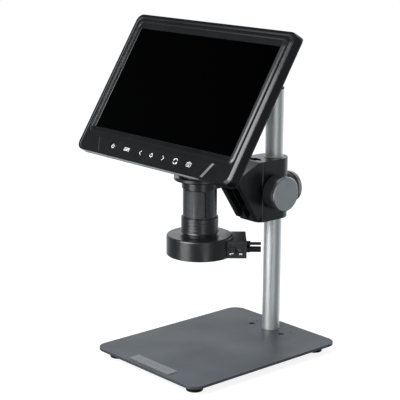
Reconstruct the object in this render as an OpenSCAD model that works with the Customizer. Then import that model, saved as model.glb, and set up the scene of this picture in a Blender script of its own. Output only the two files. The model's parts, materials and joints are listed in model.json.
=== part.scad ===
// Bench digital microscope: a tilting screen on a camera barrel, held by a focusing arm on a pole and plate base.
// Millimetres. X is the user's right, Y runs away from the user, Z is up.
// The origin is on the desk, under the centre of the base plate.

/* [Base] */
// Width of the base plate
base_w = 175; // [150:1:220]
// Depth of the base plate
base_d = 226; // [200:1:280]
// Thickness of the base plate
base_t = 3; // [2.6:0.1:6]
// Corner radius of the base plate
base_corner_r = 15; // [8:1:25]
// Height of the rubber feet
foot_h = 9; // [8:0.5:14]
// Diameter of the rubber feet
foot_d = 20; // [16:1:26]
// Feet centres, in from the side edges of the plate
foot_inset_x = 20.5; // [15:0.5:30]
// Feet centres, in from the front and rear edges of the plate
foot_inset_y = 19.5; // [15:0.5:30]
// Diameter of the two lamp holes
lamp_hole_d = 7; // [4:0.5:9]
// Distance between the two lamp holes
lamp_hole_gap = 50; // [40:1:70]
// Lamp holes, in from the rear edge of the plate
lamp_hole_inset = 32.3; // [28:0.1:40]
// Length of the blank rating plate
rating_w = 69; // [40:1:100]
// Width of the blank rating plate
rating_d = 15.5; // [10:0.5:20]

/* [Pole] */
// Outside diameter of the pole
pole_d = 21; // [18:0.5:24]
// Wall of the pole
pole_wall = 2.5; // [2:0.1:3.5]
// Length of the pole above the plate
pole_len = 292; // [270:1:360]
// Pole axis, in from the rear edge of the plate
pole_inset = 25.2; // [22:0.1:30]
// Height of the cap on top of the pole
pole_cap_t = 2.5; // [2:0.5:6]

/* [Carriage] */
// Width of the clamp housing and of the arm
housing_w = 38; // [38:0.5:46]
// Height of the clamp housing
housing_h = 71.5; // [66:0.5:90]
// Height of the housing's underside above the desk
housing_bottom = 153; // [120:1:160]
// Housing front face, ahead of the pole axis
housing_front = 36.8; // [36.8:0.1:42]
// Wall of the two liners between the housing and the pole
liner_t = 1.6; // [1.2:0.1:1.8]
// Length of each liner
liner_len = 20; // [12:1:24]
// Height of the lock knob's axis above the housing's underside
lock_rise = 31; // [28:0.5:40]
// Diameter of the lock knob
lock_knob_d = 37.4; // [28:0.2:40]
// Length of the lock knob's black grip
lock_grip_l = 8.5; // [7:0.5:14]
// Length of the lock knob's silver cap
lock_cap_l = 5.5; // [4:0.5:8]

/* [Focus drive] */
// Module of the rack and pinion
gear_module = 1; // [0.9:0.05:1]
// Teeth on the pinion
pinion_teeth = 12; // [11:1:12]
// Pinion shaft, ahead of the pole axis
shaft_ahead = 20.5; // [20.5:0.1:21]
// Height of the pinion shaft above the housing's underside
shaft_rise = 35.3; // [33:0.1:38]
// Diameter of the pinion shaft
shaft_d = 6; // [5:0.1:6.4]
// Diameter of the focus knobs
knob_d = 40.4; // [32:0.2:44]
// Length of each focus knob's black grip
knob_grip_l = 15.5; // [12:0.5:20]
// Length of each focus knob's silver cap
knob_cap_l = 4.5; // [3:0.5:7]
// Gap between the housing and each focus knob
knob_gap = 3; // [1:0.5:5]
// Half of the slide's travel, up and down from rest
focus_travel = 15; // [8:1:16]
// Gap between the arm's slide plate and the housing
slide_gap = 0.3; // [0.2:0.1:0.5]

/* [Arm] */
// Barrel axis, ahead of the pole axis
arm_reach = 115.8; // [112:0.1:135]
// Thickness of the slide plate at the back of the arm
slide_plate_t = 5.7; // [5.2:0.1:7]
// Height of the arm's flat underside above the housing's underside
arm_rise = 51; // [48:0.5:58]
// Thickness of the arm's flat front end
arm_t = 8.9; // [7:0.1:11]
// Width of each side wall of the arm
arm_wall = 7.6; // [5:0.1:9]
// Thickness of the arm's centre rib
arm_rib = 1; // [0.8:0.1:2]

/* [Camera barrel] */
// Outside diameter of the barrel
barrel_d = 38.4; // [37.6:0.2:39]
// Length of the barrel below the arm
barrel_len = 33.1; // [28:0.1:45]
// Height of the lens ring
lens_ring_h = 18.1; // [17:0.1:24]
// Diameter of the lens ring
lens_ring_d = 42; // [41:0.2:46]
// Bore of the barrel
barrel_bore = 30; // [28:0.5:31]
// Half of the lens group's travel, up and down from rest
lens_travel = 2.5; // [1:0.1:2.8]
// Angle the lens ring turns each way from rest
lens_turn = 40; // [30:1:50]
// Diameter of the flange on top of the arm
flange_d = 58.8; // [52:0.2:62]
// Thickness of the flange on top of the arm
flange_t = 4.1; // [3:0.1:6]
// Diameter of the camera head
head_d = 48; // [44:1:50]
// Height of the camera head
head_h = 26; // [20:1:28]

/* [Ring light] */
// Outside diameter of the ring light
ring_d = 75.4; // [70:0.2:90]
// Height of the ring light
ring_h = 22.9; // [20:0.1:30]
// Diameter of the clear opening through the ring light
ring_clear_d = 39; // [36:0.5:42]
// Bearing of the switch box from the X axis
box_bearing = 48.5; // [30:0.5:60]
// Width of the switch box across its bearing
box_w = 44; // [40:1:50]
// Reach of the switch box from the barrel axis
box_reach = 52.5; // [50:0.5:58]
// Height of the switch box
box_h = 19.6; // [18:0.1:20.5]
// Travel of the switch from off to on
switch_travel = 6.8; // [5:0.1:7]
// LEDs in the outer circle
outer_leds = 24; // [12:1:30]
// LEDs in the inner circle
inner_leds = 18; // [10:1:22]

/* [Monitor] */
// Width of the visible screen, 10.1 inches at 16:9
screen_w = 224; // [200:1:240]
// Height of the visible screen
screen_h = 126; // [112:1:136]
// Bezel width beside and above the screen
bezel_side = 18.5; // [17:0.1:24]
// Bezel width below the screen
bezel_bottom = 30.4; // [29.4:0.1:36]
// Depth of the bezel's outer side wall
bezel_depth = 8.2; // [7.6:0.1:12]
// Depth of the rear cover behind the bezel
cover_depth = 11.8; // [11:0.1:16]
// Corner radius of the monitor
monitor_corner_r = 9; // [5:0.5:12]
// Tilt of the screen back from vertical, at rest
screen_tilt = 32.57; // [25:0.01:40]
// Tilt hinge axis, ahead of the barrel axis
hinge_ahead = 20; // [16:0.5:22]
// Tilt hinge axis, above the top of the camera head
hinge_rise = 25; // [22:0.5:30]
// Tilt hinge axis, above the lower edge of the screen
hinge_up_screen = 23.8; // [15:0.1:30]
// Tilt hinge axis, behind the rear cover
hinge_behind = 11; // [11:0.5:16]
// Diameter of the tilt pin
tilt_pin_d = 8; // [5:0.5:9]
// Diameter of the power button
power_button_d = 9.2; // [7:0.2:10]

/* [Hidden] */
$fn = 72;

// Clearances: a running fit, a sliding fit between flat faces, and the extra length a cut needs
run_fit = 0.05;
slide_fit = 0.15;
cut = 1;

// Base and pole places
plate_z = foot_h;
deck_z = foot_h + base_t;
foot_x = base_w / 2 - foot_inset_x;
foot_y = base_d / 2 - foot_inset_y;
foot_taper = 0.6;
foot_screw_d = 4;
foot_head_d = 7.6;
foot_head_h = 2.6;
foot_web = foot_h / 2;
foot_screw_bite = base_t * 0.75;
pole_y = base_d / 2 - pole_inset;
pole_r = pole_d / 2;
pole_bore_r = pole_r - pole_wall;
pole_top = deck_z + pole_len;
pole_bolt_d = 8;
pole_bolt_head_d = 13;
pole_bolt_head_h = 5;
pole_bolt_bite = 18;
plug_len = 22;
pilot_hole_d = 2;
pilot_gap_extra = 7.2;
pilot_behind = 12.1;
rating_t = 0.4;
rating_x = 4;
rating_front_inset = 13;

// Carriage places
housing_y = pole_y - housing_front;
housing_top = housing_bottom + housing_h;
housing_r = housing_w / 2;
rear_round_y = pole_y - 3.8;
housing_edge_r = 3;
liner_r = pole_r + liner_t;
housing_back_y = rear_round_y + housing_r;
lock_z = housing_bottom + lock_rise;
insert_d = 10;
lock_screw_d = 6;
lock_pad_d = 7;
lock_pad_t = 1.1;
pad_y = pole_y + pole_r + run_fit;
insert_y = pad_y + lock_pad_t;
lock_grip_gap = 1;
lock_grip_y = housing_back_y + lock_grip_gap;
lock_cap_y = lock_grip_y + lock_grip_l;
lock_screw_bite = lock_grip_l - 2.5;
knob_chamfer = 1;

// Focus drive places
shaft_y = pole_y - shaft_ahead;
shaft_z = housing_bottom + shaft_rise;
pitch_r = gear_module * pinion_teeth / 2;
pressure_angle = 20;
pinion_addendum = 0.9 * gear_module;
rack_addendum = 0.65 * gear_module;
tooth_clearance = 0.25 * gear_module;
backlash = 0.25;
tooth_pitch = PI * gear_module;
rack_y = shaft_y - pitch_r;
pinion_w = 9.6;
rack_w = 9;
rack_slot_w = 11;
gear_room = 0.5;
bush_d = 10;
knob_x = housing_w / 2 + knob_gap;
knob_cap_x = knob_x + knob_grip_l;
shaft_end = knob_cap_x - 1;
grub_d = 4;
grub_len = 8;
grub_x = knob_x + knob_grip_l / 2;

// Slide places: a T-shaped rail on the arm in a channel down the housing's front
slide_plate_y = housing_y - slide_gap;
arm_front_y = slide_plate_y - slide_plate_t;
neck_w = 12;
lip_t = 3.5;
rail_head_y = housing_y + lip_t;
rail_head_t = 4.8;
rail_head_back = rail_head_y + rail_head_t;
rail_w = 20;
rack_seat = 2;
rail_inset = 5;
rail_z = housing_bottom + rail_inset;
rail_len = housing_h - 2 * rail_inset;

// Arm places
barrel_y = pole_y - arm_reach;
arm_z = housing_bottom + arm_rise;
arm_top = arm_z + arm_t;
slope_foot_y = arm_front_y + 2;
slope_head_y = slope_foot_y - 33.3;
slope_angle = atan2(arm_rise, slope_foot_y - slope_head_y);
slope_len = norm([arm_rise, slope_foot_y - slope_head_y]);
arm_crown_y = slope_foot_y - 27;
pocket_back_y = arm_front_y + 1.5;
pocket_roof = 4;
rail_screw_d = 3;
rail_screw_head_d = 5.2;
rail_screw_head_h = 2.6;
rail_screw_x = 3.3;
rail_screw_rows = [housing_bottom + 16, housing_bottom + 40];

// Barrel places
barrel_r = barrel_d / 2;
barrel_bottom = arm_z - barrel_len;
neck_r = 17.2;
spigot_r = 17.5;
ring_neck_h = 2.9;
lens_ring_r = lens_ring_d / 2;
lens_ring_z = barrel_bottom - lens_ring_h;
ring_top = lens_ring_z - ring_neck_h;
ring_bottom = ring_top - ring_h;
ring_roof_t = 2.5;
spigot_bottom = ring_top - ring_roof_t;
eye_bore_r = 12;
eye_seat_z = arm_z - 4;
rear_lens_z = arm_top - 5;
rear_lens_t = 4;
holder_r = barrel_r + 1.3;
panel_h = barrel_len - 1.7;
panel_half_angle = 40.5;
panel_bearing = 26;
panel_t = 1.4;
panel_proud = 0.6;
panel_gap = 0.25;
panel_corner_r = 3.5;
lens_play = 0.15;
lens_z = lens_ring_z + lens_ring_h / 2;
lens_cell_h = 10;
lens_cell_r = barrel_bore / 2 - run_fit;
front_lens_r = 12;
front_lens_t = 5;
drive_pin_d = 2;
drive_groove_r = spigot_r + 1.9;
groove_depth = 0.4;
groove_w = 0.6;
groove_rise = [5.8, 9.1, 13.1];
flare = 0.8;
flare_h = 1.4;

// Camera head places
flange_top = arm_top + flange_t;
head_r = head_d / 2;
head_top = flange_top + head_h;
head_wall = 2;
head_roof = 3;
sensor_board_z = flange_top + 5;
board_t = 1.6;
sensor_size = [12, 10, 1.8];
sensor_post_r = 2;

// Ring light places
ring_r = ring_d / 2;
ring_wall = 2.2;
ring_inner_wall = 2;
ring_chamfer = 1.9;
ring_cavity_r = ring_r - ring_wall;
ring_core_r = ring_clear_d / 2 + ring_inner_wall;
diffuser_t = 2;
led_board_z = ring_bottom + 11;
led_d = 4.8;
led_h = 5;
outer_led_r = ring_cavity_r - 4.2;
inner_led_r = ring_core_r + 3.7;
box_z = ring_bottom + 0.4;
box_wall = 2;
slot_x = box_reach - 20;
slot_len = 14.5;
slot_z = box_z + 7;
slot_h = 5.9;
slot_depth = 3;
thumb_len = slot_len - switch_travel - 0.9;
thumb_proud = 0.6;
thumb_ribs = 4;
slot_through = 3;
switch_body_t = 5;
switch_body_y = -box_w / 2 + box_wall + slot_depth;
switch_body_x = sqrt(pow(ring_r, 2) - pow(switch_body_y + switch_body_t, 2)) + 0.5;
switch_body_end = slot_x + slot_len + 1.3;
switch_body_h = slot_h + 2;
inlet_y = -8;
inlet_end = box_reach + 16.5;
small_inlet = [3.4, 6, 4.5, 1.1];
large_inlet = [6.6, 7.5, 4, 2.4];
small_inlet_z = box_z + 13.6;
large_inlet_z = box_z + 7;
inlet_bore_depth = 10;

// Monitor places, in the screen's own frame: X across, Y up the screen, Z out of the screen
hinge_y = barrel_y - hinge_ahead;
hinge_z = head_top + hinge_rise;
monitor_depth = bezel_depth + cover_depth;
hinge_drop = monitor_depth + hinge_behind;
monitor_w = screen_w + 2 * bezel_side;
monitor_h = screen_h + bezel_side + bezel_bottom;
monitor_mid = (screen_h + bezel_side - bezel_bottom) / 2;
rim_inset = 5.7;
rim_h = 1.2;
rim_bottom_inset = 1;
rim_corner_r = 5;
rim_w = monitor_w - 2 * rim_inset;
rim_low = -bezel_bottom + rim_bottom_inset;
rim_high = screen_h + bezel_side - rim_inset;
crest_out = 7.85;
crest_h = 1.75;
band_out = bezel_side - rim_inset;
screen_sink = 0.8;
window_lip = 0.3;
bezel_wall = 4;
cavity_w = monitor_w - 2 * bezel_wall;
cavity_low = -bezel_bottom + bezel_wall;
cavity_high = screen_h + bezel_side - bezel_wall;
panel_margin = 3.5;
panel_thick = 2.4;
backlight_t = 4;
backlight_back = -screen_sink - panel_thick - backlight_t;
cover_wall = 2.2;
cover_rim = 1.8;
cover_run = 14;
cover_back = -monitor_depth;
post_r = 3.4;
post_x = monitor_w / 2 - 9.5;
post_rows = [-bezel_bottom + 15.4, screen_h / 2, screen_h + bezel_side - 9.5];
cover_screw_d = 2.4;
cover_screw_head_d = 5.2;
cover_screw_seat = cover_back + 7;
cover_screw_head_h = 2;
board_size = [100, 70];
board_mid = [-screen_w / 2 + 54, screen_h / 2 + 15];
board_z = backlight_back - 5.2;
board_post_r = 2.5;
board_post_inset = 5;
chip_places = [[12, 0], [-14, -20]];
chip_sizes = [[16, 16, 1.8], [12, 9, 1.4]];
board_edge = board_mid[0] - board_size[0] / 2;
port_reach = monitor_w / 2 - 11;
ports = [[14.8, 5.2, -34.8], [9, 3.4, -5], [13, 2.2, 9], [9, 3.4, 25.6]];
port_wall = 0.6;
port_tail = 6;
port_hollow = 8;
port_room = 0.4;
vent_count = 14;
vent_w = 2;
vent_len = 26;
vent_step = 6;
vent_y = screen_h - 12;
key_y = -19.2;
key_panel_top = -12;
key_panel_bottom = rim_low + 0.4;
key_panel_t = 1.2;
key_panel_top_half = screen_w / 2 - 15;
key_panel_bottom_half = screen_w / 2 - 24;
power_inset = 31.2;
power_x = power_inset - key_panel_top_half;
power_r = power_button_d / 2;
power_room = 0.1;
power_flange = 1.2;
power_flange_t = 1.1;
power_travel = 0.6;
key_board_size = [2 * (abs(power_x) + power_button_d), 14];
key_board_z = -screen_sink - 3.6 - board_t;
hinge_plate_size = [70, 36, 3];
knuckle_half = 9.9;
ear_gap = 0.2;
ear_t = 5;
ear_r = hinge_behind - hinge_plate_size[2] - 0.4;
knuckle_r = 8;
pin_head_r = 6;
pin_head_t = 2.8;
yoke_base_t = 4;
hinge_screw_d = 3;
hinge_screw_x = 28;
hinge_screw_y = 12;

// ---------- shapes used by several pieces ----------

// Rectangle with round corners, centred
module rounded_rect(w, d, r) {
    square([w - 2 * r, d], center = true);
    square([w, d - 2 * r], center = true);
    for (x = [-1, 1], y = [-1, 1])
        translate([x * (w / 2 - r), y * (d / 2 - r)]) circle(r);
}

// Round plate, rod or ring standing on z
module ring(r_out, r_in, z, h) {
    translate([0, 0, z]) linear_extrude(h) difference() {
        circle(r_out);
        if (r_in > 0) circle(r_in);
    }
}

// Profile of a knob's silver cap or of any disc with one bevelled edge, from z = 0 to h
module bevel_disc(r, h, bevel) {
    rotate_extrude() polygon([[0, 0], [r, 0], [r, h - bevel], [r - bevel, h], [0, h]]);
}

// Turns a shape built along Z so that it lies along X, or along Y
module along_x() {
    rotate([0, 90, 0]) children();
}
module along_y() {
    rotate([-90, 0, 0]) children();
}

// Places a shape at the barrel axis, at the pole axis, and in the switch box's own frame
module at_barrel() {
    translate([0, barrel_y, 0]) children();
}
module at_pole() {
    translate([0, pole_y, 0]) children();
}
module in_switch_box() {
    at_barrel() rotate([0, 0, box_bearing]) children();
}

// Places a shape given in the screen's own frame
module on_screen() {
    translate([0, hinge_y, hinge_z]) rotate([90 - screen_tilt, 0, 0])
        translate([0, -hinge_up_screen, hinge_drop]) children();
}

// Side profile (y, z) made solid across x, from one side to the other
module side_profile(points, x0, x1) {
    translate([x0, 0, 0]) rotate([90, 0, 90]) linear_extrude(x1 - x0) polygon(points);
}

// Block with four sloped sides and sharp mitres: half-width and edges at each height
module mitred_block(heights, halves, lows, highs) {
    last = len(heights) - 1;
    across = concat([for (i = [0:last]) [halves[i], heights[i]]], [for (i = [last:-1:0]) [-halves[i], heights[i]]]);
    up = concat([for (i = [0:last]) [highs[i], heights[i]]], [for (i = [last:-1:0]) [lows[i], heights[i]]]);
    length = max(highs) - min(lows) + 2 * cut;
    width = 2 * max(halves) + 2 * cut;
    intersection() {
        translate([0, max(highs) + cut, 0]) rotate([90, 0, 0]) linear_extrude(length) polygon(across);
        translate([-width / 2, 0, 0]) rotate([90, 0, 90]) linear_extrude(width) polygon(up);
    }
}

// ---------- base and pole ----------

module foot_places() {
    for (x = [-1, 1], y = [-1, 1]) translate([x * foot_x, y * foot_y, 0]) children();
}

module base_plate() {
    color("slategray") translate([0, 0, plate_z]) difference() {
        linear_extrude(base_t) difference() {
            rounded_rect(base_w, base_d, base_corner_r);
            translate([0, pole_y]) circle(pole_bolt_d / 2 + 0.2);
            for (x = [-1, 1]) {
                translate([x * lamp_hole_gap / 2, base_d / 2 - lamp_hole_inset]) circle(lamp_hole_d / 2);
                translate([x * (lamp_hole_gap + pilot_gap_extra) / 2, base_d / 2 - lamp_hole_inset + pilot_behind])
                    circle(pilot_hole_d / 2);
            }
        }
        foot_places() ring(foot_screw_d / 2, 0, -cut, foot_screw_bite + cut);
    }
}

module rubber_feet() {
    r = foot_d / 2;
    color("black") foot_places() rotate_extrude() polygon([
        [foot_head_d / 2 + 0.5, 0], [r - foot_taper, 0], [r, foot_h],
        [foot_screw_d / 2, foot_h], [foot_screw_d / 2, foot_web], [foot_head_d / 2 + 0.5, foot_web]
    ]);
}

module foot_screws() {
    color("silver") foot_places() {
        ring(foot_head_d / 2, 0, foot_web - foot_head_h, foot_head_h);
        ring(foot_screw_d / 2, 0, foot_web, foot_h - foot_web + foot_screw_bite - 0.2);
    }
}

module rating_plate() {
    color("lightgray") translate([rating_x, -base_d / 2 + rating_front_inset, deck_z])
        linear_extrude(rating_t) rounded_rect(rating_w, rating_d, 1.5);
}

module pole_tube() {
    color("silver") at_pole() ring(pole_r, pole_bore_r, deck_z, pole_len);
}

module pole_end_cap() {
    stem = 10;
    color("black") at_pole() {
        ring(pole_bore_r, 0, pole_top - stem, stem);
        translate([0, 0, pole_top]) bevel_disc(pole_r, pole_cap_t, 0.6);
    }
}

module pole_base_plug() {
    color("gray") at_pole() ring(pole_bore_r, pole_bolt_d / 2, deck_z, plug_len);
}

module pole_bolt() {
    socket_d = 6.9;
    color("dimgray") at_pole() difference() {
        union() {
            ring(pole_bolt_head_d / 2, 0, plate_z - pole_bolt_head_h, pole_bolt_head_h);
            ring(pole_bolt_d / 2, 0, plate_z, base_t + pole_bolt_bite);
        }
        translate([0, 0, plate_z - pole_bolt_head_h - cut])
            linear_extrude(pole_bolt_head_h / 2 + cut) circle(socket_d / 2, $fn = 6);
    }
}

// ---------- carriage ----------

module housing_outline() {
    r = housing_edge_r;
    front_half = housing_r - r;
    translate([-housing_r, housing_y + r]) square([housing_w, rear_round_y - housing_y - r]);
    translate([-front_half, housing_y]) square([2 * front_half, r + cut]);
    for (x = [-1, 1]) translate([x * front_half, housing_y + r]) circle(r);
    translate([0, rear_round_y]) circle(housing_r);
}

module rail_channel_outline() {
    neck_half = neck_w / 2 + slide_fit;
    head_half = rail_w / 2 + slide_fit;
    translate([-neck_half, housing_y - cut]) square([2 * neck_half, lip_t + 2 * cut]);
    translate([-head_half, rail_head_y - slide_fit]) square([2 * head_half, rail_head_t + 2 * slide_fit]);
    translate([-rack_slot_w / 2, rail_head_back])
        square([rack_slot_w, rack_y + rack_addendum + gear_room - rail_head_back]);
}

module clamp_housing() {
    pocket_r = pitch_r + pinion_addendum + gear_room;
    color([0.10, 0.11, 0.12]) difference() {
        translate([0, 0, housing_bottom]) linear_extrude(housing_h) difference() {
            housing_outline();
            translate([0, pole_y]) circle(liner_r);
            rail_channel_outline();
        }
        translate([-rack_slot_w / 2, shaft_y, shaft_z]) along_x() ring(pocket_r, 0, 0, rack_slot_w);
        translate([-housing_w, shaft_y, shaft_z]) along_x() ring(bush_d / 2, 0, 0, 2 * housing_w);
        translate([0, pole_y, lock_z]) along_y() ring(insert_d / 2, 0, 0, housing_w);
    }
}

module pole_liners() {
    color("ivory") at_pole() for (z = [housing_bottom, housing_top - liner_len])
        ring(liner_r, pole_r + run_fit, z, liner_len);
}

module shaft_bushes() {
    length = housing_r - rack_slot_w / 2;
    color("goldenrod") for (x = [-1, 1])
        translate([x > 0 ? rack_slot_w / 2 : -housing_r, shaft_y, shaft_z]) along_x()
            ring(bush_d / 2, shaft_d / 2 + run_fit, 0, length);
}

module clamp_insert() {
    color("goldenrod") translate([0, insert_y, lock_z]) along_y()
        ring(insert_d / 2, lock_screw_d / 2 + run_fit, 0, housing_back_y - insert_y);
}

module clamp_pad() {
    color("peru") translate([0, pad_y, lock_z]) along_y() ring(lock_pad_d / 2, 0, 0, lock_pad_t);
}

// ---------- lock knob ----------

module clamp_screw() {
    tip_gap = 0.05;
    color("silver") translate([0, insert_y + tip_gap, lock_z]) along_y()
        ring(lock_screw_d / 2, 0, 0, lock_grip_y + lock_screw_bite - insert_y - tip_gap);
}

module clamp_grip() {
    r = lock_knob_d / 2;
    color([0.12, 0.12, 0.13]) translate([0, lock_grip_y, lock_z]) along_y() difference() {
        rotate_extrude() polygon([
            [0, 0], [r - 1.5, 0], [r - 0.5, 1], [r - 0.5, lock_grip_l], [0, lock_grip_l]
        ]);
        ring(lock_screw_d / 2, 0, -cut, lock_screw_bite + cut);
    }
}

module clamp_knob_cap() {
    color("silver") translate([0, lock_cap_y, lock_z]) along_y() bevel_disc(lock_knob_d / 2, lock_cap_l, knob_chamfer);
}

// ---------- focus shaft and knobs ----------

// Angle of the involute at radius r on a gear whose pitch radius is pitch_r
function involute(angle) = tan(angle) * 180 / PI - angle;
function tooth_half_angle(r) =
    90 / pinion_teeth - backlash / (2 * pitch_r) * 90 / PI
    + involute(pressure_angle) - involute(acos(min(1, pitch_r * cos(pressure_angle) / r)));
function on_circle(r, angle) = [r * cos(angle), r * sin(angle)];

module pinion_outline() {
    tip_r = pitch_r + pinion_addendum;
    root_r = pitch_r - rack_addendum - tooth_clearance;
    base_r = pitch_r * cos(pressure_angle);
    steps = 4;
    radii = [for (i = [0:steps]) base_r + (tip_r - base_r) * i / steps];
    polygon([for (t = [0:pinion_teeth - 1]) let (a = 360 * t / pinion_teeth) each concat(
        [on_circle(root_r, a - tooth_half_angle(base_r) * 1.02)],
        [for (r = radii) on_circle(r, a - tooth_half_angle(r))],
        [for (i = [steps:-1:0]) on_circle(radii[i], a + tooth_half_angle(radii[i]))],
        [on_circle(root_r, a + tooth_half_angle(base_r) * 1.02)]
    )]);
}

module pinion_shaft() {
    color("silver") translate([-shaft_end, shaft_y, shaft_z]) along_x() ring(shaft_d / 2, 0, 0, 2 * shaft_end);
}

module pinion() {
    color("goldenrod") translate([-pinion_w / 2, shaft_y, shaft_z]) rotate([90, 0, 90])
        linear_extrude(pinion_w) difference() {
            rotate(180) pinion_outline();
            circle(shaft_d / 2);
        }
}

// One focus knob's grip, on the right of the housing
module knob_grip() {
    r = knob_d / 2;
    translate([knob_x, shaft_y, shaft_z]) along_x() difference() {
        rotate_extrude() polygon([
            [0, 0], [r - 1.5, 0], [r - 0.5, 1], [r - 0.5, knob_grip_l], [0, knob_grip_l]
        ]);
        ring(shaft_d / 2, 0, -cut, shaft_end - knob_x + cut);
        translate([0, 0, grub_x - knob_x]) along_x() ring(grub_d / 2, 0, 0, knob_d);
    }
}

module right_knob_grip() {
    color([0.12, 0.12, 0.13]) knob_grip();
}

module left_knob_grip() {
    color([0.12, 0.12, 0.13]) mirror([1, 0, 0]) knob_grip();
}

module right_knob_cap() {
    color("silver") translate([knob_cap_x, shaft_y, shaft_z]) along_x() bevel_disc(knob_d / 2, knob_cap_l, knob_chamfer);
}

module left_knob_cap() {
    color("silver") mirror([1, 0, 0]) translate([knob_cap_x, shaft_y, shaft_z]) along_x()
        bevel_disc(knob_d / 2, knob_cap_l, knob_chamfer);
}

module knob_grub_screws() {
    color("dimgray") for (x = [-1, 1]) translate([x * grub_x, shaft_y, shaft_z - shaft_d / 2 - grub_len])
        ring(grub_d / 2, 0, 0, grub_len);
}

// ---------- focusing arm ----------

// Wedge that rounds the long edge of the arm's sloped face at x = housing_r
module slope_edge_cut() {
    r = arm_wall;
    translate([housing_r - r, slope_foot_y, housing_bottom]) rotate([slope_angle - 90, 0, 0])
        translate([0, r, -slope_len / 2]) linear_extrude(2 * slope_len) difference() {
            translate([0, -r - 2 * cut]) square([r + cut, r + 2 * cut]);
            circle(r);
        }
}

module arm_pockets() {
    run = pocket_back_y - slope_head_y;
    inner = housing_r - arm_wall;
    points = [
        [pocket_back_y, housing_bottom - cut], [pocket_back_y, arm_z - pocket_roof],
        [slope_head_y - run, arm_z - pocket_roof], [slope_head_y - run, housing_bottom - cut]
    ];
    side_profile(points, arm_rib / 2, inner);
    side_profile(points, -inner, -arm_rib / 2);
}

module arm_bracket() {
    color([0.10, 0.11, 0.12]) difference() {
        union() {
            difference() {
                side_profile([
                    [slope_foot_y, housing_bottom], [slide_plate_y, housing_bottom], [slide_plate_y, housing_top],
                    [arm_front_y, housing_top], [arm_crown_y, arm_top], [barrel_y, arm_top],
                    [barrel_y, arm_z], [slope_head_y, arm_z]
                ], -housing_r, housing_r);
                arm_pockets();
                slope_edge_cut();
                mirror([1, 0, 0]) slope_edge_cut();
            }
            at_barrel() ring(holder_r, 0, arm_z, arm_t);
        }
        at_barrel() ring(neck_r, 0, arm_z - cut, arm_t + 2 * cut);
        for (x = [-1, 1], z = rail_screw_rows) translate([x * rail_screw_x, pocket_back_y - cut, z]) along_y()
            ring(rail_screw_d / 2, 0, 0, slide_plate_t + cut);
    }
}

module slide_rail() {
    color("gray") difference() {
        translate([0, 0, rail_z]) linear_extrude(rail_len) difference() {
            union() {
                translate([-neck_w / 2, slide_plate_y]) square([neck_w, rail_head_y - slide_plate_y + cut]);
                translate([-rail_w / 2, rail_head_y]) square([rail_w, rail_head_t]);
            }
            translate([-rack_w / 2, rail_head_back - rack_seat]) square([rack_w, rack_seat + cut]);
        }
        for (x = [-1, 1], z = rail_screw_rows) translate([x * rail_screw_x, slide_plate_y - cut, z]) along_y()
            ring(rail_screw_d / 2, 0, 0, lip_t + slide_gap + 2 * cut);
    }
}

module focus_rack() {
    seat_y = rail_head_back - rack_seat;
    tip = rack_addendum;
    root = -pinion_addendum - tooth_clearance;
    flank = tan(pressure_angle);
    half = tooth_pitch / 4 - backlash / 4;
    count = floor(rail_len / tooth_pitch / 2) - 1;
    teeth = [for (t = [-count:count - 1]) let (z = (t + 0.5) * tooth_pitch) each [
        [rack_y + root, z - half + root * flank], [rack_y + tip, z - half + tip * flank],
        [rack_y + tip, z + half - tip * flank], [rack_y + root, z + half - root * flank]
    ]];
    low = rail_z - shaft_z;
    high = low + rail_len;
    color("goldenrod") translate([0, 0, shaft_z]) side_profile(
        concat([[seat_y, low], [rack_y + root, low]], teeth, [[rack_y + root, high], [seat_y, high]]),
        -rack_w / 2, rack_w / 2);
}

module rail_screws() {
    color("silver") for (x = [-1, 1], z = rail_screw_rows) translate([x * rail_screw_x, pocket_back_y, z]) along_y() {
        ring(rail_screw_head_d / 2, 0, -rail_screw_head_h, rail_screw_head_h);
        ring(rail_screw_d / 2, 0, 0, slide_plate_y - pocket_back_y + lip_t);
    }
}

// ---------- camera barrel and lenses ----------

// The curved panel's place on the barrel: a block that runs outwards along the panel's bearing
module panel_block(grow) {
    half = (barrel_r + panel_proud) * sin(panel_half_angle);
    translate([0, 0, barrel_bottom + barrel_len / 2]) rotate([0, 0, panel_bearing - 90]) rotate([0, 90, 0])
        linear_extrude(2 * barrel_r) rounded_rect(panel_h + 2 * grow, 2 * half + 2 * grow, panel_corner_r + grow);
}

module barrel_tube() {
    color([0.12, 0.12, 0.13]) at_barrel() difference() {
        union() {
            ring(barrel_r, 0, barrel_bottom, barrel_len);
            ring(neck_r, 0, arm_z, flange_top - arm_z);
            ring(spigot_r, 0, spigot_bottom, barrel_bottom - spigot_bottom);
        }
        ring(barrel_bore / 2, 0, spigot_bottom - cut, eye_seat_z - spigot_bottom + cut);
        ring(eye_bore_r, 0, eye_seat_z - cut, flange_top - eye_seat_z + 2 * cut);
        intersection() {
            ring(barrel_r + cut, barrel_r + panel_proud - panel_t, barrel_bottom, barrel_len);
            panel_block(panel_gap);
        }
        translate([-drive_pin_d / 2 - run_fit, barrel_bore / 2 - 2 * cut, lens_z - lens_travel - drive_pin_d])
            cube([drive_pin_d + 2 * run_fit, 2 * cut + spigot_r, 2 * lens_travel + 2 * drive_pin_d]);
    }
}

module barrel_panel() {
    color([0.22, 0.23, 0.24]) at_barrel() intersection() {
        ring(barrel_r + panel_proud, barrel_r + panel_proud - panel_t, barrel_bottom, barrel_len);
        panel_block(0);
    }
}

module rear_lens() {
    color("lightcyan") at_barrel() ring(eye_bore_r, 0, rear_lens_z, rear_lens_t);
}

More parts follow.
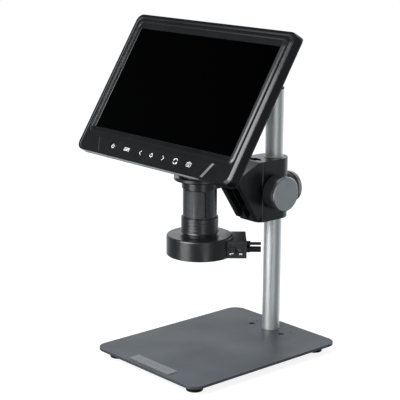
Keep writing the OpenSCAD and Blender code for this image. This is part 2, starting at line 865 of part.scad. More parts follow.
module lens_ring() {
    low = lens_ring_z + lens_play;
    high = lens_ring_z + lens_ring_h - lens_play;
    bore = spigot_r + run_fit;
    r = lens_ring_r;
    steps = 16;
    color([0.14, 0.14, 0.15]) at_barrel() difference() {
        rotate_extrude() polygon(concat(
            [[bore, low], [r + flare - 0.5, low], [r + flare, low + 0.5], [r, low + flare_h]],
            [for (z = groove_rise) each [
                [r, lens_ring_z + z - groove_w / 2], [r - groove_depth, lens_ring_z + z],
                [r, lens_ring_z + z + groove_w / 2]
            ]],
            [[r, high - 0.4], [r - 0.4, high], [bore, high]]
        ));
        for (i = [-steps:steps])
            let (angle = i * (lens_turn + 3) / steps)
                translate([0, 0, lens_z - lens_travel * angle / lens_turn]) rotate([0, 0, angle]) along_y()
                    ring(drive_pin_d / 2 + 0.35, 0, 0, drive_groove_r);
    }
}

module lens_cell() {
    color("dimgray") at_barrel() difference() {
        ring(lens_cell_r, front_lens_r, lens_z - lens_cell_h / 2, lens_cell_h);
        translate([0, 0, lens_z]) along_y() ring(drive_pin_d / 2, 0, 0, 2 * lens_cell_r);
    }
}

module front_lens() {
    curve_r = 40;
    color("lightcyan") at_barrel() intersection() {
        ring(front_lens_r, 0, lens_z - front_lens_t, 2 * front_lens_t);
        translate([0, 0, lens_z + front_lens_t / 2 - curve_r]) sphere(curve_r);
        translate([0, 0, lens_z - front_lens_t / 2 + curve_r]) sphere(curve_r);
    }
}

module lens_drive_pin() {
    pin_in = front_lens_r + 0.5;
    color("silver") translate([0, barrel_y + pin_in, lens_z]) along_y()
        ring(drive_pin_d / 2, 0, 0, drive_groove_r - 0.4 - pin_in);
}

// ---------- camera head ----------

module head_flange() {
    color([0.10, 0.11, 0.12]) at_barrel() difference() {
        translate([0, 0, flange_top]) mirror([0, 0, 1]) bevel_disc(flange_d / 2, flange_t, 0.8);
        ring(neck_r, 0, arm_top - cut, flange_t + 2 * cut);
    }
}

module head_shell() {
    color([0.10, 0.11, 0.12]) at_barrel() difference() {
        translate([0, 0, flange_top]) bevel_disc(head_r, head_h, 1.5);
        ring(head_r - head_wall, 0, flange_top - cut, head_h - head_roof + cut);
        ring(8, 0, head_top - head_roof - cut, head_roof + 2 * cut);
    }
}

module sensor_board() {
    post_place = head_r - head_wall - 1.5 * sensor_post_r;
    color("darkgreen") at_barrel() {
        ring(head_r - head_wall, 0, sensor_board_z, board_t);
        for (a = [45:90:315]) rotate([0, 0, a]) translate([post_place, 0, 0])
            ring(sensor_post_r, 0, flange_top, sensor_board_z - flange_top);
    }
}

module image_sensor() {
    color("black") at_barrel() translate([-sensor_size[0] / 2, -sensor_size[1] / 2, sensor_board_z - sensor_size[2]])
        cube(sensor_size);
}

module tilt_yoke() {
    inner = knuckle_half + ear_gap;
    foot = hinge_y - barrel_y;
    color([0.10, 0.11, 0.12]) difference() {
        union() {
            at_barrel() ring(head_r - 2, 8, head_top, yoke_base_t);
            for (x = [-inner - ear_t, inner]) translate([x, 0, 0]) rotate([90, 0, 90]) linear_extrude(ear_t) {
                translate([hinge_y, hinge_z]) circle(ear_r);
                polygon([
                    [hinge_y - ear_r, hinge_z], [barrel_y - head_r + 10, head_top + yoke_base_t / 2],
                    [barrel_y - foot / 2, head_top + yoke_base_t / 2], [hinge_y + ear_r, hinge_z]
                ]);
            }
        }
        translate([-head_r, hinge_y, hinge_z]) along_x() ring(tilt_pin_d / 2, 0, 0, head_d);
    }
}

module tilt_pin() {
    reach = knuckle_half + ear_gap + ear_t;
    color("silver") translate([-reach, hinge_y, hinge_z]) along_x() {
        ring(tilt_pin_d / 2, 0, 0, 2 * reach);
        ring(pin_head_r, 0, 2 * reach, pin_head_t);
        ring(pin_head_r, 0, -pin_head_t, pin_head_t);
    }
}

// ---------- ring light ----------

module ring_light_housing() {
    roof_z = ring_top - ring_roof_t;
    color([0.12, 0.12, 0.13]) at_barrel() rotate_extrude() polygon([
        [spigot_r, roof_z], [ring_clear_d / 2, roof_z], [ring_clear_d / 2, ring_bottom], [ring_core_r, ring_bottom],
        [ring_core_r, roof_z], [ring_cavity_r, roof_z], [ring_cavity_r, ring_bottom], [ring_r - 0.4, ring_bottom],
        [ring_r, ring_bottom + 0.4], [ring_r, ring_top - ring_chamfer], [ring_r - ring_chamfer, ring_top],
        [barrel_r, ring_top], [barrel_r, lens_ring_z], [spigot_r, lens_ring_z]
    ]);
}

module led_board() {
    color("white") at_barrel() ring(ring_cavity_r, ring_core_r, led_board_z, board_t);
}

module led_emitters() {
    color("lemonchiffon") at_barrel() {
        for (i = [0:outer_leds - 1]) rotate([0, 0, 360 * i / outer_leds]) translate([outer_led_r, 0, 0]) led();
        for (i = [0:inner_leds - 1]) rotate([0, 0, 360 * i / inner_leds]) translate([inner_led_r, 0, 0]) led();
    }
}

module led() {
    r = led_d / 2;
    ring(r, 0, led_board_z - led_h, led_h);
    intersection() {
        translate([0, 0, led_board_z - led_h]) sphere(r);
        ring(r + cut, 0, led_board_z - led_h - led_d, led_d);
    }
}

module ring_diffuser() {
    color([0.9, 0.93, 0.95, 0.5]) at_barrel() ring(ring_cavity_r, ring_core_r, ring_bottom, diffuser_t);
}

module switch_box() {
    color([0.13, 0.13, 0.14]) in_switch_box() difference() {
        translate([0, -box_w / 2, box_z]) cube([box_reach, box_w, box_h]);
        ring(ring_r, 0, box_z - cut, box_h + 2 * cut);
        translate([slot_x, -box_w / 2 + box_wall + slot_depth, box_z + box_wall])
            cube([box_reach - box_wall - slot_x, box_w - 2 * box_wall - slot_depth, box_h - 2 * box_wall]);
        translate([slot_x, -box_w / 2 - cut, slot_z]) cube([slot_len, slot_depth + cut, slot_h]);
        translate([slot_x + slot_through, -box_w / 2, slot_z + slot_through / 2])
            cube([slot_len - 2 * slot_through, slot_depth + 3 * cut, slot_h - slot_through]);
    }
}

module slide_switch() {
    color("dimgray") in_switch_box()
        translate([switch_body_x, switch_body_y, slot_z + slot_h / 2 - switch_body_h / 2])
            cube([switch_body_end - switch_body_x, switch_body_t, switch_body_h]);
}

// One inlet sleeve: [sleeve diameter, collar diameter, collar length, bore radius]
module inlet(spec) {
    length = inlet_end - box_reach;
    difference() {
        union() {
            ring(spec[0] / 2, 0, 0, length);
            ring(spec[1] / 2, 0, 0, spec[2]);
        }
        ring(spec[3], 0, length - inlet_bore_depth, inlet_bore_depth + cut);
    }
}

module light_inlets() {
    color("black") in_switch_box() {
        translate([box_reach, inlet_y, small_inlet_z]) along_x() inlet(small_inlet);
        translate([box_reach, inlet_y, large_inlet_z]) along_x() inlet(large_inlet);
    }
}

module switch_slider() {
    room = 0.2;
    rib_w = thumb_len / (2 * thumb_ribs - 1);
    color([0.2, 0.2, 0.22]) in_switch_box() translate([slot_x + 0.45, -box_w / 2, slot_z + room]) {
        cube([thumb_len, slot_depth - room, slot_h - 2 * room]);
        for (i = [0:thumb_ribs - 1]) translate([2 * i * rib_w, -thumb_proud, 0])
            cube([rib_w, thumb_proud + cut, slot_h - 2 * room]);
    }
}

// ---------- monitor ----------

module bezel() {
    out = screen_w / 2;
    color([0.08, 0.09, 0.10]) on_screen() difference() {
        union() {
            translate([0, monitor_mid, -bezel_depth]) linear_extrude(bezel_depth)
                rounded_rect(monitor_w, monitor_h, monitor_corner_r);
            translate([0, (rim_low + rim_high) / 2, -cut]) linear_extrude(rim_h + cut)
                rounded_rect(rim_w, rim_high - rim_low, rim_corner_r);
            mitred_block([0, rim_h, crest_h], [out + band_out - 2, out + band_out - 2, out + crest_out],
                [-band_out + 2, -band_out + 2, -crest_out],
                [screen_h + band_out - 2, screen_h + band_out - 2, screen_h + crest_out]);
        }
        mitred_block([0, crest_h, crest_h + cut], [out + window_lip, out + crest_out, out + crest_out],
            [-window_lip, -crest_out, -crest_out],
            [screen_h + window_lip, screen_h + crest_out, screen_h + crest_out]);
        translate([-out - window_lip, -window_lip, -bezel_depth - cut])
            cube([screen_w + 2 * window_lip, screen_h + 2 * window_lip, bezel_depth + 2 * cut]);
        translate([-cavity_w / 2, cavity_low, -bezel_depth - cut])
            cube([cavity_w, cavity_high - cavity_low, bezel_depth - screen_sink + cut]);
        translate([power_x, key_y, 0]) ring(power_r + power_room, 0, -cut, 3 * cut);
    }
}

module lcd_panel() {
    color([0.01, 0.01, 0.012]) on_screen()
        translate([-screen_w / 2 - panel_margin, -panel_margin, -screen_sink - panel_thick])
            cube([screen_w + 2 * panel_margin, screen_h + 2 * panel_margin, panel_thick]);
}

module backlight_unit() {
    color("gainsboro") on_screen()
        translate([-screen_w / 2 - panel_margin + 1, -panel_margin + 1, backlight_back])
            cube([screen_w + 2 * panel_margin - 2, screen_h + 2 * panel_margin - 2, backlight_t]);
}

module board_posts() {
    for (x = [-1, 1], y = [-1, 1])
        translate([board_mid[0] + x * (board_size[0] / 2 - board_post_inset),
            board_mid[1] + y * (board_size[1] / 2 - board_post_inset), 0])
            children();
}

module display_board() {
    color("darkgreen") on_screen() {
        translate([board_edge, board_mid[1] - board_size[1] / 2, board_z])
            cube([board_size[0], board_size[1], board_t]);
        board_posts() ring(board_post_r, 0, board_z + board_t, backlight_back - board_z - board_t);
        for (i = [0:1]) translate([board_mid[0] + chip_places[i][0], board_mid[1] + chip_places[i][1],
            board_z - chip_sizes[i][2]]) cube(chip_sizes[i]);
    }
}

module board_connectors() {
    color("silver") on_screen() for (p = ports)
        translate([-port_reach, board_mid[1] + p[2], board_z - p[1]]) difference() {
            cube([port_reach + board_edge + port_tail, p[0], p[1]]);
            translate([-cut, port_wall, port_wall])
                cube([port_hollow + cut, p[0] - 2 * port_wall, p[1] - 2 * port_wall]);
        }
}

module cover_block(inset, back) {
    half = monitor_w / 2 - inset;
    low = -bezel_bottom + inset;
    high = screen_h + bezel_side - inset;
    mitred_block([cover_back + back, -bezel_depth - cover_rim, -bezel_depth],
        [half - cover_run, half, half], [low + cover_run, low, low], [high - cover_run, high, high]);
}

module cover_posts() {
    for (x = [-1, 1], y = post_rows) translate([x * post_x, y, 0]) children();
}

module rear_cover() {
    color([0.10, 0.11, 0.12]) on_screen() difference() {
        union() {
            intersection() {
                difference() {
                    cover_block(0, 0);
                    cover_block(cover_wall, cover_wall);
                    translate([0, 0, cut / 2]) cover_block(cover_wall, cover_wall);
                }
                translate([0, monitor_mid, cover_back - cut]) linear_extrude(monitor_depth)
                    rounded_rect(monitor_w, monitor_h, monitor_corner_r);
            }
            cover_posts() ring(post_r, 0, cover_screw_seat - 2, -screen_sink - cover_screw_seat + 2);
        }
        cover_posts() {
            ring(cover_screw_d / 2, 0, cover_screw_seat - cut, monitor_depth);
            ring(cover_screw_head_d / 2 + 0.2, 0, cover_back - cut, cover_screw_seat - cover_back + cut);
        }
        for (i = [0:vent_count - 1]) translate([(i - (vent_count - 1) / 2) * vent_step, vent_y - vent_len / 2, 0])
            translate([-vent_w / 2, -vent_len / 2, cover_back - cut]) cube([vent_w, vent_len, cover_wall + 2 * cut]);
        for (p = ports) translate([-monitor_w, board_mid[1] + p[2] - port_room, board_z - p[1] - port_room])
            cube([monitor_w + board_edge, p[0] + 2 * port_room, p[1] + 2 * port_room]);
        translate([0, hinge_up_screen, 0]) for (x = [-1, 1], y = [-1, 1])
            translate([x * hinge_screw_x, y * hinge_screw_y, 0])
                ring(hinge_screw_d / 2, 0, cover_back - cut, cover_wall + 2 * cut);
    }
}

module cover_screws() {
    color("dimgray") on_screen() cover_posts() {
        ring(cover_screw_head_d / 2, 0, cover_screw_seat - cover_screw_head_h, cover_screw_head_h);
        ring(cover_screw_d / 2, 0, cover_screw_seat, -screen_sink - 3 - cover_screw_seat);
    }
}

module key_overlay() {
    color([0.07, 0.08, 0.09]) on_screen() difference() {
        translate([0, 0, rim_h]) linear_extrude(key_panel_t) polygon([
            [-key_panel_top_half, key_panel_top], [key_panel_top_half, key_panel_top],
            [key_panel_bottom_half, key_panel_bottom], [-key_panel_bottom_half, key_panel_bottom]
        ]);
        translate([power_x, key_y, 0]) ring(power_r + 0.6, 0, 0, 4 * cut);
    }
}

module key_board() {
    posts_x = key_board_size[0] / 3;
    color("darkgreen") on_screen() {
        translate([-key_board_size[0] / 2, key_y - key_board_size[1] / 2 + 1, key_board_z])
            cube([key_board_size[0], key_board_size[1], board_t]);
        for (x = [-posts_x, 0, posts_x]) translate([x, key_y, 0])
            ring(2, 0, key_board_z + board_t, -screen_sink - key_board_z - board_t);
        translate([power_x - 3, key_y - 3, key_board_z + board_t]) cube([6, 6, 1.6]);
    }
}

module power_button() {
    color([0.12, 0.12, 0.13]) on_screen() translate([power_x, key_y, 0]) {
        ring(power_r, 0, -screen_sink - power_room, rim_h + key_panel_t + screen_sink + power_room);
        ring(power_r + power_flange, 0, -screen_sink - power_room - power_flange_t, power_flange_t);
    }
}

module hinge_plate() {
    color([0.12, 0.12, 0.13]) on_screen() translate([0, hinge_up_screen, cover_back]) difference() {
        union() {
            translate([-hinge_plate_size[0] / 2, -hinge_plate_size[1] / 2, -hinge_plate_size[2]])
                cube(hinge_plate_size);
            translate([-knuckle_half, 0, -hinge_behind]) along_x() ring(knuckle_r, 0, 0, 2 * knuckle_half);
            translate([-knuckle_half, -knuckle_r, -hinge_behind])
                cube([2 * knuckle_half, 2 * knuckle_r, hinge_behind - 1]);
        }
        translate([-knuckle_half - cut, 0, -hinge_behind]) along_x()
            ring(tilt_pin_d / 2 + run_fit, 0, 0, 2 * knuckle_half + 2 * cut);
        for (x = [-1, 1], y = [-1, 1]) translate([x * hinge_screw_x, y * hinge_screw_y, 0])
            ring(hinge_screw_d / 2, 0, -hinge_plate_size[2] - cut, hinge_plate_size[2] + 2 * cut);
    }
}

module hinge_screws() {
    color("silver") on_screen() translate([0, hinge_up_screen, cover_back])
        for (x = [-1, 1], y = [-1, 1]) translate([x * hinge_screw_x, y * hinge_screw_y, 0]) {
            ring(hinge_screw_d, 0, -hinge_plate_size[2] - 1.8, 1.8);
            ring(hinge_screw_d / 2, 0, -hinge_plate_size[2], hinge_plate_size[2] + cover_wall);
        }
}

base_plate();
rubber_feet();
foot_screws();
rating_plate();
pole_tube();
pole_end_cap();
pole_base_plug();
pole_bolt();
clamp_housing();
pole_liners();
shaft_bushes();
clamp_insert();
clamp_pad();
clamp_screw();
clamp_grip();
clamp_knob_cap();
pinion_shaft();
pinion();
right_knob_grip();
left_knob_grip();
right_knob_cap();
left_knob_cap();
knob_grub_screws();
arm_bracket();
slide_rail();
focus_rack();
rail_screws();
barrel_tube();
barrel_panel();
rear_lens();
head_flange();
head_shell();
sensor_board();
image_sensor();
tilt_yoke();
tilt_pin();
lens_ring();
lens_cell();
front_lens();
lens_drive_pin();
ring_light_housing();
led_board();
led_emitters();
ring_diffuser();
switch_box();
slide_switch();
light_inlets();
switch_slider();
bezel();
lcd_panel();
backlight_unit();
display_board();
board_connectors();
rear_cover();
cover_screws();
key_overlay();
key_board();
power_button();
hinge_plate();
hinge_screws();
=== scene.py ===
# Looks of a bench digital microscope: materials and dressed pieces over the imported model.
# Sizes in the code are millimetres; MM turns them into the metres of the scene.
import json
import math

import bmesh
import bpy
from mathutils import Matrix, Vector

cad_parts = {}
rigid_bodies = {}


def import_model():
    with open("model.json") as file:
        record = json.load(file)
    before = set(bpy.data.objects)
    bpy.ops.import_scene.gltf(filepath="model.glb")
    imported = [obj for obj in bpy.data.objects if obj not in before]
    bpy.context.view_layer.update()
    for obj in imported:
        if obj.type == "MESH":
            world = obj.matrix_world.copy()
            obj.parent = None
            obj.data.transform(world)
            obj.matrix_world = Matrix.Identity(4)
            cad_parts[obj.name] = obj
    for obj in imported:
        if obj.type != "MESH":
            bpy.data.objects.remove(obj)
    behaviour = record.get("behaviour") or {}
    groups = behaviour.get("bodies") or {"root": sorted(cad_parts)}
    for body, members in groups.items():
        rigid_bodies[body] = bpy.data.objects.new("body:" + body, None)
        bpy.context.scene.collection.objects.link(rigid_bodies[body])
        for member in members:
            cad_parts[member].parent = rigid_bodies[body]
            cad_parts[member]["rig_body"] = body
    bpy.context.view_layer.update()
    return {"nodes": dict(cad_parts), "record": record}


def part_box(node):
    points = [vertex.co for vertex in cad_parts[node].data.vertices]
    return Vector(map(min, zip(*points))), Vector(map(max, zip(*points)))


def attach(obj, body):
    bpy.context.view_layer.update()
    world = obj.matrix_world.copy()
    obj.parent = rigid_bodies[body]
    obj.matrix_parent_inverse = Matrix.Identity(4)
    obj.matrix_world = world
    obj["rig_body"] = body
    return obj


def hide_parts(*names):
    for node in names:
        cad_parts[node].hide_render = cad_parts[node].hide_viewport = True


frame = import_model()
MM = 0.001


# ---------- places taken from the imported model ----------

def middle(node):
    low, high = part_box(node)
    return (low + high) / 2 / MM


def reach(node):
    low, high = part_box(node)
    return low / MM, high / MM


pole = middle("pole_tube")
barrel = middle("barrel_tube")
barrel_low, barrel_high = reach("barrel_tube")
barrel_radius = (barrel_high.x - barrel_low.x) / 2
tilt_axis = middle("tilt_pin")
focus_axis = middle("pinion_shaft")
lock_axis = middle("clamp_screw")

# The screen's own frame: X across, Y up the screen, Z out of it, in millimetres
TILT = 32.57
HINGE_UP = 23.8
HINGE_DEPTH = 31
BEZEL_DEPTH = 8.2
MONITOR_DEPTH = 20
SCREEN_W = 224
SCREEN_H = 126
BEZEL_SIDE = 18.5
BEZEL_BOTTOM = 30.4
KEY_ROW = -19.2
POWER_X = -65.8
HINGE_SCREWS = (28, 12)
COVER_SCREW_X = 121
COVER_SCREW_ROWS = (-15, 63, 135)
FOOT_SCREWS = (67, 93.5)
screen_frame = (
    Matrix.Scale(MM, 4)
    @ Matrix.Translation((0, tilt_axis.y, tilt_axis.z))
    @ Matrix.Rotation(math.radians(90 - TILT), 4, "X")
    @ Matrix.Translation((0, -HINGE_UP, HINGE_DEPTH))
)

# The switch box's own frame: X away from the barrel, Z up
BOX_BEARING = 48.5
SWITCH_FACE = -22
SLOT_DEPTH = 3
SLOT_MID_Z = 137.35
MARKS_Z = 131.7
row_frame = Matrix.Scale(MM, 4)
box_turn = Matrix.Rotation(math.radians(BOX_BEARING), 4, "Z")
box_frame = row_frame @ Matrix.Translation((0, barrel.y, 0)) @ box_turn


# ---------- camera ----------

CAMERA_PLACE = Vector((1038.909, -947.784, 526.045))
CAMERA_BACK = Vector((0.72751645, -0.6442124, 0.23603006))
CAMERA_AZIMUTH = 48.475
CAMERA_ROLL = 0.337
FOCAL_LENGTH = 114.54


def place_camera():
    azimuth, roll = math.radians(CAMERA_AZIMUTH), math.radians(CAMERA_ROLL)
    right = Vector((math.cos(azimuth), math.sin(azimuth), 0))
    up = CAMERA_BACK.cross(right)
    across = right * math.cos(roll) + up * math.sin(roll)
    above = up * math.cos(roll) - right * math.sin(roll)
    data = bpy.data.cameras.new("camera")
    data.sensor_width = 36
    data.lens = FOCAL_LENGTH
    data.clip_start = 0.05
    data.clip_end = 30
    camera = bpy.data.objects.new("camera", data)
    turn = Matrix((across, above, CAMERA_BACK)).transposed().to_4x4()
    camera.matrix_world = Matrix.Translation(CAMERA_PLACE * MM) @ turn
    bpy.context.scene.collection.objects.link(camera)
    bpy.context.scene.camera = camera


place_camera()


# ---------- shader building ----------

def shader_node(tree, kind, inputs=None, **settings):
    made = tree.nodes.new(kind)
    for name, value in settings.items():
        setattr(made, name, value)
    for name, value in (inputs or {}).items():
        if isinstance(value, bpy.types.NodeSocket):
            tree.links.new(value, made.inputs[name])
        else:
            made.inputs[name].default_value = value
    return made


def effect_group(name, inputs, outputs):
    tree = bpy.data.node_groups.new(name, "ShaderNodeTree")
    for title, kind, value in inputs:
        socket = tree.interface.new_socket(name=title, in_out="INPUT", socket_type=kind)
        socket.default_value = value
    for title in outputs:
        tree.interface.new_socket(name=title, in_out="OUTPUT", socket_type="NodeSocketFloat")
    source = tree.nodes.new("NodeGroupInput")
    result = tree.nodes.new("NodeGroupOutput")
    return tree, source.outputs, result.inputs


def grain_group():
    """Moulded or painted texture: fine bumps and a slow change of tone."""
    tree, given, result = effect_group(
        "fine grain",
        [("Grain Size mm", "NodeSocketFloat", 0.5), ("Patch Size mm", "NodeSocketFloat", 30.0)],
        ["Tone", "Height"],
    )
    place = shader_node(tree, "ShaderNodeTexCoord").outputs["Object"]
    fine = shader_node(tree, "ShaderNodeMath", {0: 1 / MM, 1: given["Grain Size mm"]}, operation="DIVIDE")
    slow = shader_node(tree, "ShaderNodeMath", {0: 1 / MM, 1: given["Patch Size mm"]}, operation="DIVIDE")
    bumps = shader_node(tree, "ShaderNodeTexNoise",
                        {"Vector": place, "Scale": fine.outputs[0], "Detail": 2.0, "Roughness": 0.6})
    patches = shader_node(tree, "ShaderNodeTexNoise",
                          {"Vector": place, "Scale": slow.outputs[0], "Detail": 3.0, "Roughness": 0.55})
    tree.links.new(bumps.outputs[0], result["Height"])
    tree.links.new(patches.outputs[0], result["Tone"])
    return tree


def brushed_group():
    """Fine lines of a drawn, turned or brushed metal, along the direction whose stretch is small."""
    tree, given, result = effect_group(
        "brushed lines",
        [("Stretch", "NodeSocketVector", (1.0, 1.0, 0.02)), ("Line Size mm", "NodeSocketFloat", 0.3)],
        ["Tone", "Height"],
    )
    place = shader_node(tree, "ShaderNodeTexCoord").outputs["Object"]
    stretched = shader_node(tree, "ShaderNodeVectorMath", {0: place, 1: given["Stretch"]}, operation="MULTIPLY")
    scale = shader_node(tree, "ShaderNodeMath", {0: 1 / MM, 1: given["Line Size mm"]}, operation="DIVIDE")
    lines = shader_node(tree, "ShaderNodeTexNoise",
                        {"Vector": stretched.outputs[0], "Scale": scale.outputs[0], "Detail": 3.0, "Roughness": 0.7})
    tree.links.new(lines.outputs[0], result["Tone"])
    tree.links.new(lines.outputs[0], result["Height"])
    return tree


def edge_rub_and_highlight_group():
    """Edges painted lighter: partly rubbed by handling, partly a painted highlight where edges would catch the light.
    """
    tree, given, result = effect_group("edge rub", [("Amount", "NodeSocketFloat", 0.4)], ["Mask"])
    place = shader_node(tree, "ShaderNodeTexCoord").outputs["Object"]
    point = shader_node(tree, "ShaderNodeNewGeometry").outputs["Pointiness"]
    edge = shader_node(tree, "ShaderNodeMapRange", {"Value": point, "From Min": 0.53, "From Max": 0.62})
    broken = shader_node(tree, "ShaderNodeTexNoise", {"Vector": place, "Scale": 220.0, "Detail": 2.0})
    broken = shader_node(tree, "ShaderNodeMapRange",
                         {"Value": broken.outputs[0], "From Min": 0.3, "From Max": 0.62, "To Min": 0.25})
    both = shader_node(tree, "ShaderNodeMath", {0: edge.outputs[0], 1: broken.outputs[0]}, operation="MULTIPLY")
    both = shader_node(tree, "ShaderNodeMath", {0: both.outputs[0], 1: given["Amount"]}, operation="MULTIPLY")
    tree.links.new(both.outputs[0], result["Mask"])
    return tree


GRAIN = grain_group()
BRUSHED = brushed_group()
EDGE_RUB_AND_HIGHLIGHT = edge_rub_and_highlight_group()


def between(tree, factor, first, second):
    mix = shader_node(tree, "ShaderNodeMix", data_type="RGBA")
    tree.links.new(factor, mix.inputs[0])
    for index, value in ((6, first), (7, second)):
        if isinstance(value, bpy.types.NodeSocket):
            tree.links.new(value, mix.inputs[index])
        else:
            mix.inputs[index].default_value = (*value[:3], 1)
    return mix.outputs[2]


def finish(name, colour, rough, metal=0.0, gloss=0.5, grain=0.5, depth=0.02, patch=30, tone=0.12,
           rub_and_highlight=None, lines=None, line_size=0.3, coat=0.0, see_through=0.0, ior=1.5, bump=0.25):
    """A material whose colour and roughness vary a little, with a fine surface texture and lighter edges that are
    partly rubbed wear and partly a painted highlight.
    """
    material = bpy.data.materials.new(name)
    material.use_nodes = True
    tree = material.node_tree
    shader = tree.nodes["Principled BSDF"]
    if lines:
        texture = shader_node(tree, "ShaderNodeGroup", node_tree=BRUSHED)
        texture.inputs["Stretch"].default_value = lines
        texture.inputs["Line Size mm"].default_value = line_size
    else:
        texture = shader_node(tree, "ShaderNodeGroup", node_tree=GRAIN)
        texture.inputs["Grain Size mm"].default_value = grain
        texture.inputs["Patch Size mm"].default_value = patch
    darker = [c * (1 - tone) for c in colour]
    lighter = [min(1, c * (1 + tone)) for c in colour]
    paint = between(tree, texture.outputs["Tone"], darker, lighter)
    # Edges lighter by the pointiness mask: partly rubbed wear, partly a painted highlight on the edges.
    if rub_and_highlight:
        worn_and_lit = shader_node(tree, "ShaderNodeGroup", node_tree=EDGE_RUB_AND_HIGHLIGHT)
        worn_and_lit.inputs["Amount"].default_value = rub_and_highlight[3]
        paint = between(tree, worn_and_lit.outputs["Mask"], paint, rub_and_highlight)
    tree.links.new(paint, shader.inputs["Base Color"])
    spread = min(0.06, rough * 0.3)
    varied = shader_node(tree, "ShaderNodeMapRange", {
        "Value": texture.outputs["Tone"], "From Min": 0.3, "From Max": 0.7,
        "To Min": rough - spread, "To Max": rough + spread})
    tree.links.new(varied.outputs[0], shader.inputs["Roughness"])
    raised = shader_node(tree, "ShaderNodeBump",
                         {"Strength": bump, "Distance": depth * MM, "Height": texture.outputs["Height"]})
    tree.links.new(raised.outputs[0], shader.inputs["Normal"])
    shader.inputs["Metallic"].default_value = metal
    shader.inputs["Specular IOR Level"].default_value = gloss
    shader.inputs["IOR"].default_value = ior
    shader.inputs["Coat Weight"].default_value = coat
    shader.inputs["Coat Roughness"].default_value = 0.1
    shader.inputs["Transmission Weight"].default_value = see_through
    return material


# ---------- the finishes of this object ----------

